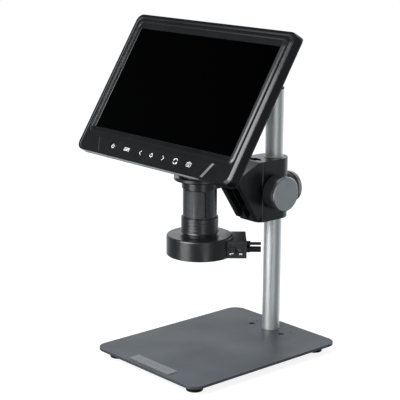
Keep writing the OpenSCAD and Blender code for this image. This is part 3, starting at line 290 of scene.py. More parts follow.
# The edge colours given with each finish below are partly rubbed wear and partly a painted edge highlight, strongest on
# the knob caps and the barrel panel.
GREY_RUB_AND_HIGHLIGHT = (0.07, 0.072, 0.075, 0.5)
finishes = {
    "base_paint": finish("grey powder coat", (0.044, 0.0515, 0.064), 0.42, gloss=0.5, grain=0.9, depth=0.03,
                         patch=60, tone=0.06, rub_and_highlight=(0.12, 0.12, 0.125, 0.35)),
    "foot_rubber": finish("foot rubber", (0.012, 0.012, 0.012), 0.75, gloss=0.3, grain=0.4, depth=0.04),
    "screw_steel": finish("zinc plated steel", (0.56, 0.56, 0.55), 0.32, metal=1, lines=(1, 1, 0.3), line_size=0.4,
                          depth=0.01),
    "plate_silver": finish("blank silver plate", (0.27, 0.28, 0.29), 0.42, metal=0.7, lines=(0.03, 1, 1),
                           line_size=0.25, depth=0.01, tone=0.2),
    "pole_aluminium": finish("satin anodised tube", (0.90, 0.925, 0.915), 0.5, metal=1, lines=(1, 1, 0.015),
                             line_size=0.35, depth=0.008, tone=0.07),
    "black_plastic": finish("black plastic cap", (0.011, 0.012, 0.013), 0.42, gloss=0.5, grain=0.4),
    "dark_steel": finish("blackened steel", (0.06, 0.06, 0.062), 0.38, metal=0.8, grain=0.3, depth=0.01),
    "black_casting": finish("black cast finish", (0.0045, 0.0051, 0.0058), 0.3, gloss=0.85, grain=0.7, depth=0.03,
                            patch=40, rub_and_highlight=(0.04, 0.041, 0.043, 0.35)),
    "liner_plastic": finish("liner plastic", (0.62, 0.6, 0.5), 0.5, grain=0.5),
    "bush_brass": finish("machined brass", (0.72, 0.53, 0.24), 0.28, metal=1, lines=(0.1, 1, 1), line_size=0.2),
    "knob_black": finish("black knob grip", (0.028, 0.030, 0.032), 0.38, gloss=0.8, grain=0.4, depth=0.02,
                         rub_and_highlight=GREY_RUB_AND_HIGHLIGHT),
    "knob_silver": finish("satin knob cap", (0.64, 0.655, 0.66), 0.34, metal=1, grain=0.3, depth=0.012, tone=0.05,
                          patch=12, rub_and_highlight=(0.8, 0.8, 0.8, 0.6)),
    "rail_steel": finish("ground steel", (0.4, 0.4, 0.41), 0.3, metal=1, lines=(1, 1, 0.05), line_size=0.2),
    "barrel_black": finish("satin black barrel", (0.006, 0.0067, 0.0077), 0.3, gloss=0.95, grain=0.35, depth=0.012,
                           tone=0.1, rub_and_highlight=GREY_RUB_AND_HIGHLIGHT),
    "panel_grey": finish("dark grey cover", (0.016, 0.018, 0.021), 0.46, gloss=0.7, grain=0.3, depth=0.015, tone=0.08,
                         rub_and_highlight=(0.2, 0.205, 0.21, 0.8)),
    "lens_glass": finish("coated lens", (0.86, 0.93, 1.0), 0.03, see_through=0.9, gloss=0.7, ior=1.52, depth=0.0005,
                         tone=0.02, coat=0.3),
    "circuit_board": finish("green solder mask", (0.012, 0.12, 0.045), 0.32, grain=1.2, depth=0.01, tone=0.2,
                            patch=8),
    "chip_black": finish("black chip body", (0.016, 0.016, 0.017), 0.55, grain=0.2),
    "ring_black": finish("satin black ring", (0.0055, 0.0062, 0.0070), 0.3, gloss=0.85, grain=0.35, depth=0.012,
                         tone=0.1, rub_and_highlight=GREY_RUB_AND_HIGHLIGHT),
    "led_board_white": finish("white board", (0.78, 0.78, 0.76), 0.35, grain=0.8, depth=0.01, tone=0.04),
    "led_lens": finish("clear light lens", (0.9, 0.88, 0.74), 0.12, gloss=0.6, grain=0.5, depth=0.004, tone=0.06,
                       patch=2.5),
    "diffuser_clear": finish("clear cover", (0.9, 0.93, 0.95), 0.16, see_through=0.95, ior=1.49, depth=0.003,
                             tone=0.02),
    "switch_black": finish("black switch plastic", (0.012, 0.0128, 0.0138), 0.42, gloss=0.55, grain=0.35, depth=0.02,
                           rub_and_highlight=GREY_RUB_AND_HIGHLIGHT),
    "inlet_black": finish("black sleeve", (0.007, 0.007, 0.0075), 0.4, gloss=0.55, grain=0.3, depth=0.02),
    "bezel_black": finish("black bezel", (0.0035, 0.0040, 0.0046), 0.2, gloss=0.55, grain=0.3, depth=0.006, tone=0.08),
    "screen_black": finish("black screen", (0.0002, 0.0002, 0.0002), 0.08, gloss=0.025, grain=0.6, depth=0.001),
    "backlight_metal": finish("pressed sheet", (0.55, 0.55, 0.55), 0.4, metal=1, lines=(0.05, 1, 1)),
    "connector_metal": finish("plated connector", (0.6, 0.6, 0.6), 0.25, metal=1, grain=0.3, depth=0.005),
    "cover_black": finish("textured cover", (0.011, 0.0118, 0.0125), 0.5, gloss=0.45, grain=0.6, depth=0.05, bump=0.5,
                          rub_and_highlight=GREY_RUB_AND_HIGHLIGHT),
    "overlay_black": finish("key film", (0.0026, 0.0032, 0.0038), 0.2, gloss=0.68, grain=0.3, depth=0.008, tone=0.06),
    "button_black": finish("button plastic", (0.006, 0.006, 0.0065), 0.3, gloss=0.5, grain=0.3, depth=0.01),
}
white_print = finish("white print", (0.82, 0.83, 0.84), 0.5, gloss=0.3, grain=0.3, depth=0.005, tone=0.06)

node_slot = {part["node"]: part["material_slot"] for part in frame["record"]["subparts"]}
node_body = {name: shown["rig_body"] for name, shown in frame["nodes"].items()}
for name, shown in frame["nodes"].items():
    shown.data.materials.clear()
    shown.data.materials.append(finishes[node_slot[name]])


# ---------- mesh building ----------

def placed_object(name, mesh=None):
    """A new object in the scene, at the origin."""
    piece = bpy.data.objects.new(name, mesh or bpy.data.meshes.new(name))
    bpy.context.scene.collection.objects.link(piece)
    return piece


def settle(piece):
    """Applies what the modifiers make, as one plain mesh."""
    graph = bpy.context.evaluated_depsgraph_get()
    plain = bpy.data.meshes.new_from_object(piece.evaluated_get(graph))
    piece.modifiers.clear()
    piece.data = plain
    return piece


def shade(piece, angle=50):
    """Smooth shading in which large flat faces stay flat beside their small round edges."""
    for face in piece.data.polygons:
        face.use_smooth = True
    piece.data.set_sharp_from_angle(angle=math.radians(angle))
    made = piece.modifiers.new("flat", "WEIGHTED_NORMAL")
    made.mode = "FACE_AREA"
    made.weight = 90
    made.keep_sharp = True
    return settle(piece)


def piece_from(name, points, faces, place=row_frame, angle=50):
    """An object at the origin whose mesh holds the points, given in millimetres in their own frame."""
    mesh = bpy.data.meshes.new(name)
    mesh.from_pydata([place @ Vector(p) for p in points], [], faces)
    shape = bmesh.new()
    shape.from_mesh(mesh)
    bmesh.ops.recalc_face_normals(shape, faces=shape.faces)
    shape.to_mesh(mesh)
    shape.free()
    return shade(placed_object(name, mesh), angle)


def cut_away(piece, tool):
    """Takes the tool's shape out of the piece and removes the tool."""
    cutter = piece.modifiers.new("hole", "BOOLEAN")
    cutter.operation = "DIFFERENCE"
    cutter.solver = "EXACT"
    cutter.object = tool
    bpy.context.view_layer.update()
    settle(piece)
    bpy.data.objects.remove(tool)


def soften(piece, width, segments=2):
    """Small round edges on the sharp corners, in millimetres."""
    made = piece.modifiers.new("edges", "BEVEL")
    made.width = width * MM
    made.segments = segments
    made.limit_method = "ANGLE"
    made.angle_limit = math.radians(30)
    made.use_clamp_overlap = True
    made.miter_outer = "MITER_ARC"
    return settle(piece)


def wear_on(piece, node, slot=None, material=None, instead=True):
    """The piece takes its finish and body from a CAD node, and stands for it."""
    slot = slot or node_slot[node]
    piece.data.materials.clear()
    piece.data.materials.append(material or finishes[slot])
    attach(piece, node_body[node])
    if instead:
        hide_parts(node)
    return piece


def merged_copy(node, name):
    """The CAD node's own shape as one joined mesh with flat faces whole again."""
    shape = bmesh.new()
    shape.from_mesh(frame["nodes"][node].data)
    bmesh.ops.remove_doubles(shape, verts=shape.verts, dist=0.003 * MM)
    bmesh.ops.dissolve_degenerate(shape, edges=shape.edges, dist=0.001 * MM)
    bmesh.ops.dissolve_limit(shape, angle_limit=math.radians(0.4), verts=shape.verts, edges=shape.edges)
    shape.verts.ensure_lookup_table()
    points = [tuple(v.co) for v in shape.verts]
    faces = [[v.index for v in f.verts] for f in shape.faces]
    shape.free()
    mesh = bpy.data.meshes.new(name)
    mesh.from_pydata(points, [], faces)
    return placed_object(name, mesh)


def dressed(node, name, bevel=0.3, angle=50, segments=2):
    """The CAD node's own shape with round edges and its finish."""
    piece = merged_copy(node, name)
    if bevel:
        soften(piece, bevel, segments=segments)
    return wear_on(shade(piece, angle), node)


def turned(profile, centre, axis="Z", steps=128):
    """Points and faces of a shape turned round an axis through centre. The profile is (radius, height) pairs in
    order, and closes on itself; a radius of 0 makes a pole."""
    points, rows, faces = [], [], []
    for radius, height in profile:
        if radius == 0:
            rows.append([len(points)])
            points.append((0, 0, height))
        else:
            rows.append(list(range(len(points), len(points) + steps)))
            turns = [2 * math.pi * i / steps for i in range(steps)]
            points += [(radius * math.cos(a), radius * math.sin(a), height) for a in turns]
    closed = profile[0][0] != 0
    pairs = list(zip(rows, rows[1:])) + ([(rows[-1], rows[0])] if closed else [])
    for low, high in pairs:
        for i in range(steps):
            j = (i + 1) % steps
            if len(low) == 1 and len(high) == 1:
                continue
            if len(low) == 1:
                faces.append((low[0], high[j], high[i]))
            elif len(high) == 1:
                faces.append((low[i], low[j], high[0]))
            else:
                faces.append((low[i], low[j], high[j], high[i]))
    order = {"Z": lambda x, y, h: (x, y, h), "X": lambda x, y, h: (h, x, y), "Y": lambda x, y, h: (y, h, x)}[axis]
    return [Vector(order(*p)) + Vector(centre) for p in points], faces


def round_corner(points, radius=0.4, closed=False):
    """The profile with each corner rounded."""
    made, steps = [], 3
    count = len(points)
    for i, here in enumerate(points):
        if not closed and i in (0, count - 1):
            made.append(here)
            continue
        a, b, c = (Vector(points[(i + k) % count]) for k in (-1, 0, 1))
        back, on = (a - b), (c - b)
        if back.length < 1e-6 or on.length < 1e-6 or here[0] == 0:
            made.append(here)
            continue
        cut = min(radius, back.length * 0.45, on.length * 0.45)
        start, end = b + back.normalized() * cut, b + on.normalized() * cut
        for k in range(steps + 1):
            t = k / steps
            made.append(tuple(start.lerp(b, t).lerp(b.lerp(end, t), t)))
    return made


def lathe(name, node, profile, centre, axis="Z", round_by=0.3, steps=128):
    """A turned piece that stands for the CAD node."""
    profile = round_corner(profile, round_by, closed=profile[0][0] != 0)
    points, faces = turned(profile, centre, axis, steps)
    return wear_on(piece_from(name, points, faces), node)


def rounded_loop(half_w, low, high, radius, height, steps=8):
    """One loop of a frame with round corners, counter-clockwise from the right."""
    points = []
    for cx, cy, start in ((half_w - radius, high - radius, 0), (-half_w + radius, high - radius, 90),
                          (-half_w + radius, low + radius, 180), (half_w - radius, low + radius, 270)):
        for k in range(steps + 1):
            a = math.radians(start + 90 * k / steps)
            points.append((cx + radius * math.cos(a), cy + radius * math.sin(a), height))
    return points


def lofted(loops, closed):
    """Points and faces that join loops of the same number of points; closed joins the last to the first."""
    count = len(loops[0])
    points = [p for loop in loops for p in loop]
    faces = []
    for k in range(len(loops) - (0 if closed else 1)):
        a, b = k * count, (k + 1) % len(loops) * count
        for i in range(count):
            j = (i + 1) % count
            faces.append((a + i, a + j, b + j, b + i))
    return points, faces


def capped(points, faces, count):
    """Closes the first and last loop of a loft with a face each."""
    total = len(points)
    return points, faces + [tuple(reversed(range(count))), tuple(range(total - count, total))]


def stroke(path, width, closed=False, low=0.0, high=0.05):
    """A printed line of even width along a path in the plane, as a thin solid."""
    points = [Vector(p) for p in path]
    count = len(points)
    left, right = [], []
    for i, here in enumerate(points):
        before = points[i - 1] if (i or closed) else here
        after = points[(i + 1) % count] if (i < count - 1 or closed) else here
        along = []
        for d in (here - before, after - here):
            if d.length > 1e-9:
                along.append(d.normalized())
        direction = sum(along, Vector((0, 0)))
        direction = direction.normalized() if direction.length > 1e-6 else along[0]
        side = Vector((-direction.y, direction.x))
        bend = max(0.35, side.dot(Vector((-along[0].y, along[0].x))))
        left.append(here + side * width / 2 / bend)
        right.append(here - side * width / 2 / bend)
    verts = [(p.x, p.y, h) for h in (low, high) for row in (left, right) for p in row]
    faces = []
    spans = count if closed else count - 1
    for i in range(spans):
        j = (i + 1) % count
        l0, l1, r0, r1 = i, j, count + i, count + j
        t = 2 * count
        faces += [(l0, l1, r1, r0), (t + l0, t + r0, t + r1, t + l1),
                  (l0, t + l0, t + l1, l1), (r0, r1, t + r1, t + r0)]
    if not closed:
        t = 2 * count
        faces += [(0, count, t + count, t), (count - 1, t + count - 1, t + 2 * count - 1, 2 * count - 1)]
    return verts, faces


def joined(parts):
    points, faces = [], []
    for verts, polygons in parts:
        faces += [tuple(i + len(points) for i in polygon) for polygon in polygons]
        points += list(verts)
    return points, faces


def shifted(part, dx, dy):
    return [(x + dx, y + dy, z) for x, y, z in part[0]], part[1]


def arc(radius, start, end, steps=14, cy=0.0):
    turns = [math.radians(start + (end - start) * k / steps) for k in range(steps + 1)]
    return [(radius * math.cos(a), cy + radius * math.sin(a)) for a in turns]


# ---------- geometry node trees ----------

def geometry_tree(name, inputs):
    tree = bpy.data.node_groups.new(name, "GeometryNodeTree")
    tree.interface.new_socket(name="Geometry", in_out="INPUT", socket_type="NodeSocketGeometry")
    for title, kind, value in inputs:
        socket = tree.interface.new_socket(name=title, in_out="INPUT", socket_type=kind)
        if value is not None:
            socket.default_value = value
    tree.interface.new_socket(name="Geometry", in_out="OUTPUT", socket_type="NodeSocketGeometry")
    source = tree.nodes.new("NodeGroupInput")
    result = tree.nodes.new("NodeGroupOutput")
    return tree, source.outputs, result.inputs["Geometry"]


def close_tree(tree, geometry, material, result):
    whole = shader_node(tree, "GeometryNodeRealizeInstances", {"Geometry": geometry})
    painted = shader_node(tree, "GeometryNodeSetMaterial", {"Geometry": whole.outputs[0], "Material": material})
    tree.links.new(painted.outputs[0], result)


def light_circle_tree():
    """Round lights on a circle: a short body with a domed end."""
    tree, given, result = geometry_tree("lights on a circle", [
        ("Count", "NodeSocketInt", 24), ("Circle Radius", "NodeSocketFloat", 0.03),
        ("Light Radius", "NodeSocketFloat", 0.0024), ("Body Height", "NodeSocketFloat", 0.005),
        ("Material", "NodeSocketMaterial", None)])
    circle = shader_node(tree, "GeometryNodeMeshCircle", {"Vertices": given["Count"], "Radius": given["Circle Radius"]})
    body = shader_node(tree, "GeometryNodeMeshCylinder",
                       {"Vertices": 16, "Radius": given["Light Radius"], "Depth": given["Body Height"]})
    dome = shader_node(tree, "GeometryNodeMeshUVSphere",
                       {"Segments": 16, "Rings": 10, "Radius": given["Light Radius"]})
    both = tree.nodes.new("GeometryNodeJoinGeometry")
    for shape, share in ((body, -0.5), (dome, -1.0)):
        down = shader_node(tree, "ShaderNodeMath", {0: given["Body Height"], 1: share}, operation="MULTIPLY")
        drop = shader_node(tree, "ShaderNodeCombineXYZ", {"Z": down.outputs[0]})
        low = shader_node(tree, "GeometryNodeTransform",
                          {"Geometry": shape.outputs["Mesh"], "Translation": drop.outputs[0]})
        tree.links.new(low.outputs[0], both.inputs[0])
    placed = shader_node(tree, "GeometryNodeInstanceOnPoints",
                         {"Points": circle.outputs[0], "Instance": both.outputs[0]})
    close_tree(tree, placed.outputs[0], given["Material"], result)
    return tree


def fastener_tree():
    """The same fastener at each point of the given mesh."""
    tree, given, result = geometry_tree("fasteners on points", [
        ("Fastener", "NodeSocketObject", None), ("Size", "NodeSocketFloat", 1.0),
        ("Turn", "NodeSocketVector", (0.0, 0.0, 0.0)), ("Seed", "NodeSocketInt", 3),
        ("Material", "NodeSocketMaterial", None)])
    item = shader_node(tree, "GeometryNodeObjectInfo", {"Object": given["Fastener"]})
    twist = shader_node(tree, "FunctionNodeRandomValue", {"Seed": given["Seed"]}, data_type="FLOAT")
    twist.inputs["Min"].default_value = 0.0
    twist.inputs["Max"].default_value = math.pi / 2
    spin = shader_node(tree, "ShaderNodeCombineXYZ")
    tree.links.new(twist.outputs[1], spin.inputs["Z"])
    placed = shader_node(tree, "GeometryNodeInstanceOnPoints", {
        "Points": given["Geometry"], "Instance": item.outputs["Geometry"], "Rotation": spin.outputs[0],
        "Scale": given["Size"]})
    turned_all = shader_node(tree, "GeometryNodeRotateInstances", {"Instances": placed.outputs[0]})
    tree.links.new(given["Turn"], turned_all.inputs["Rotation"])
    turned_all.inputs["Local Space"].default_value = False
    tree.links.new(shader_node(tree, "GeometryNodeInputPosition").outputs[0], turned_all.inputs["Pivot Point"])
    close_tree(tree, turned_all.outputs[0], given["Material"], result)
    return tree


def rib_tree():
    """Ribs in a row: a plain bar repeated along a line."""
    tree, given, result = geometry_tree("ribs in a row", [
        ("Count", "NodeSocketInt", 4), ("Start", "NodeSocketVector", (0.0, 0.0, 0.0)),
        ("Step", "NodeSocketVector", (0.001, 0.0, 0.0)), ("Rib", "NodeSocketVector", (0.0005, 0.0005, 0.004)),
        ("Material", "NodeSocketMaterial", None)])
    line = shader_node(tree, "GeometryNodeMeshLine",
                       {"Count": given["Count"], "Start Location": given["Start"], "Offset": given["Step"]})
    bar = shader_node(tree, "GeometryNodeMeshCube", {"Size": given["Rib"]})
    placed = shader_node(tree, "GeometryNodeInstanceOnPoints",
                         {"Points": line.outputs[0], "Instance": bar.outputs[0]})
    close_tree(tree, placed.outputs[0], given["Material"], result)
    return tree


LIGHTS = light_circle_tree()
FASTENERS = fastener_tree()
RIBS = rib_tree()


def grown(name, tree, values, points=((0, 0, 0),), place=row_frame):
    """Runs a tree on a few points and keeps the result as a plain mesh."""
    piece = placed_object(name)
    piece.data.from_pydata([place @ Vector(p) for p in points], [], [])
    made = piece.modifiers.new("grow", "NODES")
    made.node_group = tree
    for socket in tree.interface.items_tree:
        if socket.item_type == "SOCKET" and socket.in_out == "INPUT" and socket.name in values:
            made[socket.identifier] = values[socket.name]
    bpy.context.view_layer.update()
    return settle(piece)


# ---------- stand ----------

def make_base():
    dressed("base_plate", "base_plate_coated", bevel=0.45, segments=3)
    dressed("rubber_feet", "rubber_feet_moulded", bevel=0.5, segments=3)
    dressed("rating_plate", "rating_plate_blank", bevel=0.12)
    low, high = reach("rating_plate")
    inset, indent, first_rule, rule_step = 1.2, 5, 5.2, 2.6
    edge = rounded_loop((high.x - low.x) / 2 - inset, low.y + inset, high.y - inset, 0.8, 0)
    middle_x = (high.x + low.x) / 2
    lines = [stroke([(x + middle_x, y) for x, y, _ in edge], 0.35, closed=True, low=-0.02, high=0.03)]
    for k in range(3):
        y = low.y + first_rule + rule_step * k
        lines.append(stroke([(low.x + indent, y), (high.x - indent, y)], 0.3, low=-0.02, high=0.03))
    points, faces = joined(lines)
    border = piece_from("rating_plate_lines", [(x, y, z + high.z) for x, y, z in points], faces)
    wear_on(border, "rating_plate", material=finishes["dark_steel"], slot="dark_steel", instead=False)


def make_pole():
    low, high = reach("pole_tube")
    outer = (high.x - low.x) / 2
    bore = outer - 2.5
    lathe("pole_satin", "pole_tube", [(bore, low.z), (outer, low.z), (outer, high.z), (bore, high.z)],
          (0, pole.y, 0), steps=160)
    cap_low, cap_high = reach("pole_end_cap")
    lathe("pole_cap_domed", "pole_end_cap", [
        (0, cap_low.z), (bore, cap_low.z), (bore, high.z), (outer, high.z), (outer, cap_high.z - 0.8),
        (outer - 0.8, cap_high.z), (0, cap_high.z)], (0, pole.y, 0), round_by=0.4)
    dressed("pole_bolt", "pole_bolt_head", bevel=0.3)


# ---------- carriage and knobs ----------

def make_carriage():
    dressed("clamp_housing", "clamp_housing_cast", bevel=0.2, segments=3)
    dressed("arm_bracket", "arm_bracket_cast", bevel=0.2, segments=3)
    dressed("slide_rail", "slide_rail_ground", bevel=0.2)
    dressed("tilt_yoke", "tilt_yoke_cast", bevel=0.5, segments=3)
    dressed("hinge_plate", "hinge_plate_cast", bevel=0.5, segments=3)


def knob_grip(name, node, axis, centre, start, end, radius, bore):
    """A black grip with a shallow groove near its inner end, drilled for its shaft."""
    side = 1 if end > start else -1
    length = abs(end - start)
    profile = [(bore, start), (radius - 1.5, start), (radius - 0.5, start + side * 1.0),
               (radius - 0.5, start + side * (length - 1.2)), (radius - 0.9, start + side * (length - 0.7)),
               (radius - 0.9, end), (bore, end)]
    lathe(name, node, profile, centre, axis, round_by=0.5)


def knob_cap(name, node, axis, centre, start, end, radius):
    """A turned cap with a bright chamfer and a hair-fine ring on its face."""
    side = 1 if end > start else -1
    profile = [(0, start), (radius, start), (radius, end - side * 1.0), (radius - 1.0, end),
               (radius - 1.7, end), (radius - 1.9, end - side * 0.12), (radius - 2.1, end), (0, end)]
    lathe(name, node, profile, centre, axis, round_by=0.15)


def make_knobs():
    centre = (0, focus_axis.y, focus_axis.z)
    for name, side in (("right", 1), ("left", -1)):
        low, high = reach(name + "_knob_grip")
        start, end = (low.x, high.x) if side > 0 else (high.x, low.x)
        radius = (high.z - low.z) / 2 + 0.5
        knob_grip(name + "_grip_turned", name + "_knob_grip", "X", centre, start, end, radius, 3.05)
        cap_low, cap_high = reach(name + "_knob_cap")
        start, end = (cap_low.x, cap_high.x) if side > 0 else (cap_high.x, cap_low.x)
        knob_cap(name + "_cap_turned", name + "_knob_cap", "X", centre, start, end, radius)
    centre = (0, 0, lock_axis.z)
    low, high = reach("clamp_grip")
    radius = (high.z - low.z) / 2 + 0.5
    knob_grip("lock_grip_turned", "clamp_grip", "Y", centre, low.y, high.y, radius, 0.5)
    low, high = reach("clamp_knob_cap")
    knob_cap("lock_cap_turned", "clamp_knob_cap", "Y", centre, low.y, high.y, radius)


# ---------- camera barrel ----------

def shrink_on_barrel(panel, gap):
    """Draws the curved panel's outline in by the gap, in millimetres, so that the joint round it shows."""
    places = [(math.atan2(v.co.x, -(v.co.y - barrel.y * MM)), v.co.z) for v in panel.data.vertices]
    turns, heights = [a for a, _ in places], [z for _, z in places]
    turn, height = (max(turns) + min(turns)) / 2, (max(heights) + min(heights)) / 2
    arc_half = (max(turns) - min(turns)) / 2 * barrel_radius
    for v, (a, z) in zip(panel.data.vertices, places):
        r = math.hypot(v.co.x, v.co.y - barrel.y * MM)
        a = turn + (a - turn) * (1 - gap / arc_half)
        v.co = (r * math.sin(a), barrel.y * MM - r * math.cos(a),
                height + (z - height) * (1 - gap * MM * 2 / (max(heights) - min(heights))))


def make_barrel():
    dressed("barrel_tube", "barrel_tube_satin", bevel=0.45, angle=40, segments=1)
    panel = dressed("barrel_panel", "barrel_panel_cover", bevel=0.5)
    shrink_on_barrel(panel, 0.35)
    centre = (0, barrel.y, 0)
    low, high = reach("head_flange")
    radius = (high.x - low.x) / 2
    lathe("head_flange_turned", "head_flange", [
        (17.2, low.z), (radius - 0.8, low.z), (radius, low.z + 0.8), (radius, high.z), (17.2, high.z)], centre)
    low, high = reach("head_shell")
    radius = (high.x - low.x) / 2
    groove = radius - 0.35
    lathe("head_shell_turned", "head_shell", [
        (radius - 2, low.z), (radius, low.z), (radius, low.z + 3.2), (groove, low.z + 3.6), (groove, low.z + 4.2),
        (radius, low.z + 4.6), (radius, high.z - 1.5), (radius - 1.5, high.z), (8, high.z), (8, high.z - 3),
        (radius - 2, high.z - 3)], centre)
    low, high = reach("lens_ring")
    radius = (high.x - low.x) / 2 - 0.8
    profile = [(17.55, low.z), (radius + 0.4, low.z), (radius + 0.8, low.z + 0.5), (radius + 0.1, low.z + 1.5)]
    groove = radius - 0.16
    for rise in (5.65, 8.95, 12.95):
        mid = low.z + rise
        profile += [(radius, mid - 0.3), (groove, mid - 0.1), (groove, mid + 0.1), (radius, mid + 0.3)]
    profile += [(radius, high.z - 0.4), (radius - 0.4, high.z), (17.55, high.z)]
    lathe("lens_ring_turned", "lens_ring", profile, centre, round_by=0.15)


# ---------- ring light ----------

def make_ring_light():
    low, high = reach("ring_light_housing")
    radius = (high.x - low.x) / 2
    bottom, top_neck = low.z, high.z
    top = top_neck - 2.9
    roof = top - 2.5
    bore, neck, clear = 17.5, 19.2, 19.5
    core, cavity = clear + 2, radius - 2.2
    lathe("ring_light_shell", "ring_light_housing", [
        (bore, roof), (clear, roof), (clear, bottom), (core, bottom), (core, roof), (cavity, roof), (cavity, bottom),
        (radius - 0.5, bottom), (radius, bottom + 0.5), (radius, top - 1.9), (radius - 0.55, top - 0.6),
        (radius - 1.9, top), (neck, top), (neck, top_neck), (bore, top_neck)],
        (0, barrel.y, 0), round_by=0.35, steps=160)
    board_low, lamp_low = reach("led_board")[0], reach("led_emitters")[0]
    lamp_radius = 2.4
    both = bmesh.new()
    for count, circle in ((24, cavity - 4.2), (18, core + 3.7)):
        lamps = grown("led_circle_%d" % count, LIGHTS, {
            "Count": count, "Circle Radius": circle * MM, "Light Radius": lamp_radius * MM,
            "Body Height": (board_low.z - lamp_low.z - lamp_radius) * MM, "Material": finishes["led_lens"]})
        both.from_mesh(lamps.data)
        bpy.data.objects.remove(lamps)
    lamps = placed_object("led_circles")
    both.to_mesh(lamps.data)
    both.free()
    lamps.data.transform(Matrix.Translation((0, barrel.y * MM, board_low.z * MM)))
    wear_on(shade(lamps, 40), "led_emitters")


def switch_marks():
    """OFF and ON beside the slot, in plain strokes on the side face of the switch box."""
    def letter_o(x):
        return stroke([(x + 0.5 + 0.5 * math.cos(a * math.pi / 6), 0.8 + 0.8 * math.sin(a * math.pi / 6))
                       for a in range(12)], 0.52, closed=True)

    def letter_f(x):
        return joined([stroke([(x, 0), (x, 1.6), (x + 0.95, 1.6)], 0.52),
                       stroke([(x, 0.8), (x + 0.75, 0.8)], 0.45)])

    def letter_n(x):
        return stroke([(x, 0), (x, 1.6), (x + 1.0, 0), (x + 1.0, 1.6)], 0.5)

    off = joined([letter_o(0), letter_f(1.75), letter_f(3.3)])
    on = joined([letter_o(0), letter_n(1.8)])
    return joined([shifted(off, 33.6, MARKS_Z), shifted(on, 44.4, MARKS_Z)])


def make_switch():
    dressed("switch_box", "switch_box_moulded", bevel=0.45, segments=3)
    points, faces = switch_marks()
    marks = piece_from("switch_marks", [(x, SWITCH_FACE - z, y) for x, y, z in points], faces, place=box_frame)
    wear_on(marks, "switch_box", slot="led_board_white", material=white_print, instead=False)
    dressed("switch_slider", "switch_thumb_ribbed", bevel=0.1)
    ribs = grown("switch_box_ribs", RIBS, {
        "Count": 5, "Start": (41.9 * MM, (SWITCH_FACE + SLOT_DEPTH) * MM, SLOT_MID_Z * MM), "Step": (1.1 * MM, 0, 0),
        "Rib": (0.6 * MM, 0.26 * MM, 5.9 * MM), "Material": finishes["panel_grey"]})
    ribs.data.transform(Matrix.Translation((0, barrel.y * MM, 0)) @ box_turn)
    wear_on(shade(ribs), "switch_box", slot="panel_grey", instead=False)
    dressed("light_inlets", "light_inlets_moulded", bevel=0.2)


# ---------- monitor ----------

def frame_loop(right, bottom, height, radius, left=None, top=None):
    """A rounded outline that far outside the screen on each side; left and top follow the right unless given."""
    left = right if left is None else left
    top = right if top is None else top
    loop = rounded_loop(SCREEN_W / 2 + (right + left) / 2, -bottom, SCREEN_H + top, max(radius, 0.05), height)
    return [(x + (right - left) / 2, y, z) for x, y, z in loop]


def power_hole(radius, high):
    """A solid for the power button's hole, square to the screen."""
    tool = placed_object("power_hole")
    points, faces = turned([(0, -4), (radius, -4), (radius, high), (0, high)], (POWER_X, KEY_ROW, 0), steps=48)
    tool.data.from_pydata([screen_frame @ p for p in points], [], faces)
    return tool


def make_bezel():
    """One loft through the frame's section: out of the side, over the sloped rim, the step, the valley and the
    ridge, down to the window, and back behind. Each entry gives right, bottom, height and corner radius."""
    side, low = BEZEL_SIDE, BEZEL_BOTTOM
    section = [
        (side - 0.35, low - 0.35, -BEZEL_DEPTH, 8.7), (side, low, -BEZEL_DEPTH + 0.35, 9),
        (side - 0.1, low, -BEZEL_DEPTH + 0.9, 9, side, side), (side - 1.7, low, -1.5, 9, side, side),
        (side - 1.9, low - 0.1, -0.9, 9, side - 0.1, side - 0.1),
        (side - 2.3, low - 0.3, -0.3, 8.9, side - 0.4, side - 0.4),
        (side - 2.8, low - 0.6, 0.0, 8.8, side - 0.9, side - 0.9),
        (15.1, low - 0.9, 0.0, 8.6, 15.3, 15.3), (14.8, low - 1.1, 0.06, 8.4), (12.5, low - 2.2, 1.08, 7.4),
        (12.2, low - 2.4, 1.17, 7.3), (11.8, low - 2.6, 1.2, 7.2), (10.2, 10.2, 1.2, 7.2), (9.9, 9.9, 1.16, 7.1),
        (9.4, 9.4, 0.96, 7.0), (9.0, 9.0, 0.86, 6.9), (8.7, 8.7, 0.92, 6.8), (7.1, 7.1, 1.66, 6.2),
        (6.85, 6.85, 1.73, 6.1), (6.6, 6.6, 1.75, 6.0), (6.35, 6.35, 1.7, 5.8), (6.15, 6.15, 1.55, 5.7),
        (5.95, 5.95, 1.3, 5.5), (5.75, 5.75, 1.12, 5.3), (2.2, 1.0, 0.2, 0.9, 2.2, 1.0),
        (1.9, 0.65, 0.1, 0.6, 1.9, 0.65), (1.7, 0.4, -0.1, 0.4, 1.7, 0.4), (1.6, 0.3, -0.8, 0.3, 1.6, 0.3),
        (14.5, 26.4, -0.8, 5), (14.5, 26.4, -BEZEL_DEPTH, 5),
    ]
    loops = [frame_loop(*ring) for ring in section]
    points, faces = lofted(loops, closed=True)
    bezel = piece_from("bezel_moulded", points, faces, place=screen_frame, angle=32)
    cut_away(bezel, power_hole(4.7, 4))
    wear_on(shade(bezel, 32), "bezel")


def make_key_panel():
    """The raised film under the keys, with sloped ends."""
    top, bottom = -12.0, -29.0
    wide, narrow = 97.0, 88.0

    def outline(inset_side, inset, height):
        return [(wide - inset_side, top - inset, height), (-wide + inset_side, top - inset, height),
                (-narrow + inset_side, bottom + inset, height), (narrow - inset_side, bottom + inset, height)]

    loops = [outline(0, 0, 1.2), outline(0, 0, 1.25), outline(2.4, 0.1, 2.34), outline(2.7, 0.25, 2.4)]
    points, faces = lofted(loops, closed=False)
    points, faces = capped(points, faces, 4)
    panel = piece_from("key_panel_film", points, faces, place=screen_frame, angle=20)
    cut_away(panel, power_hole(5.2, 6))
    wear_on(shade(panel, 20), "key_overlay")


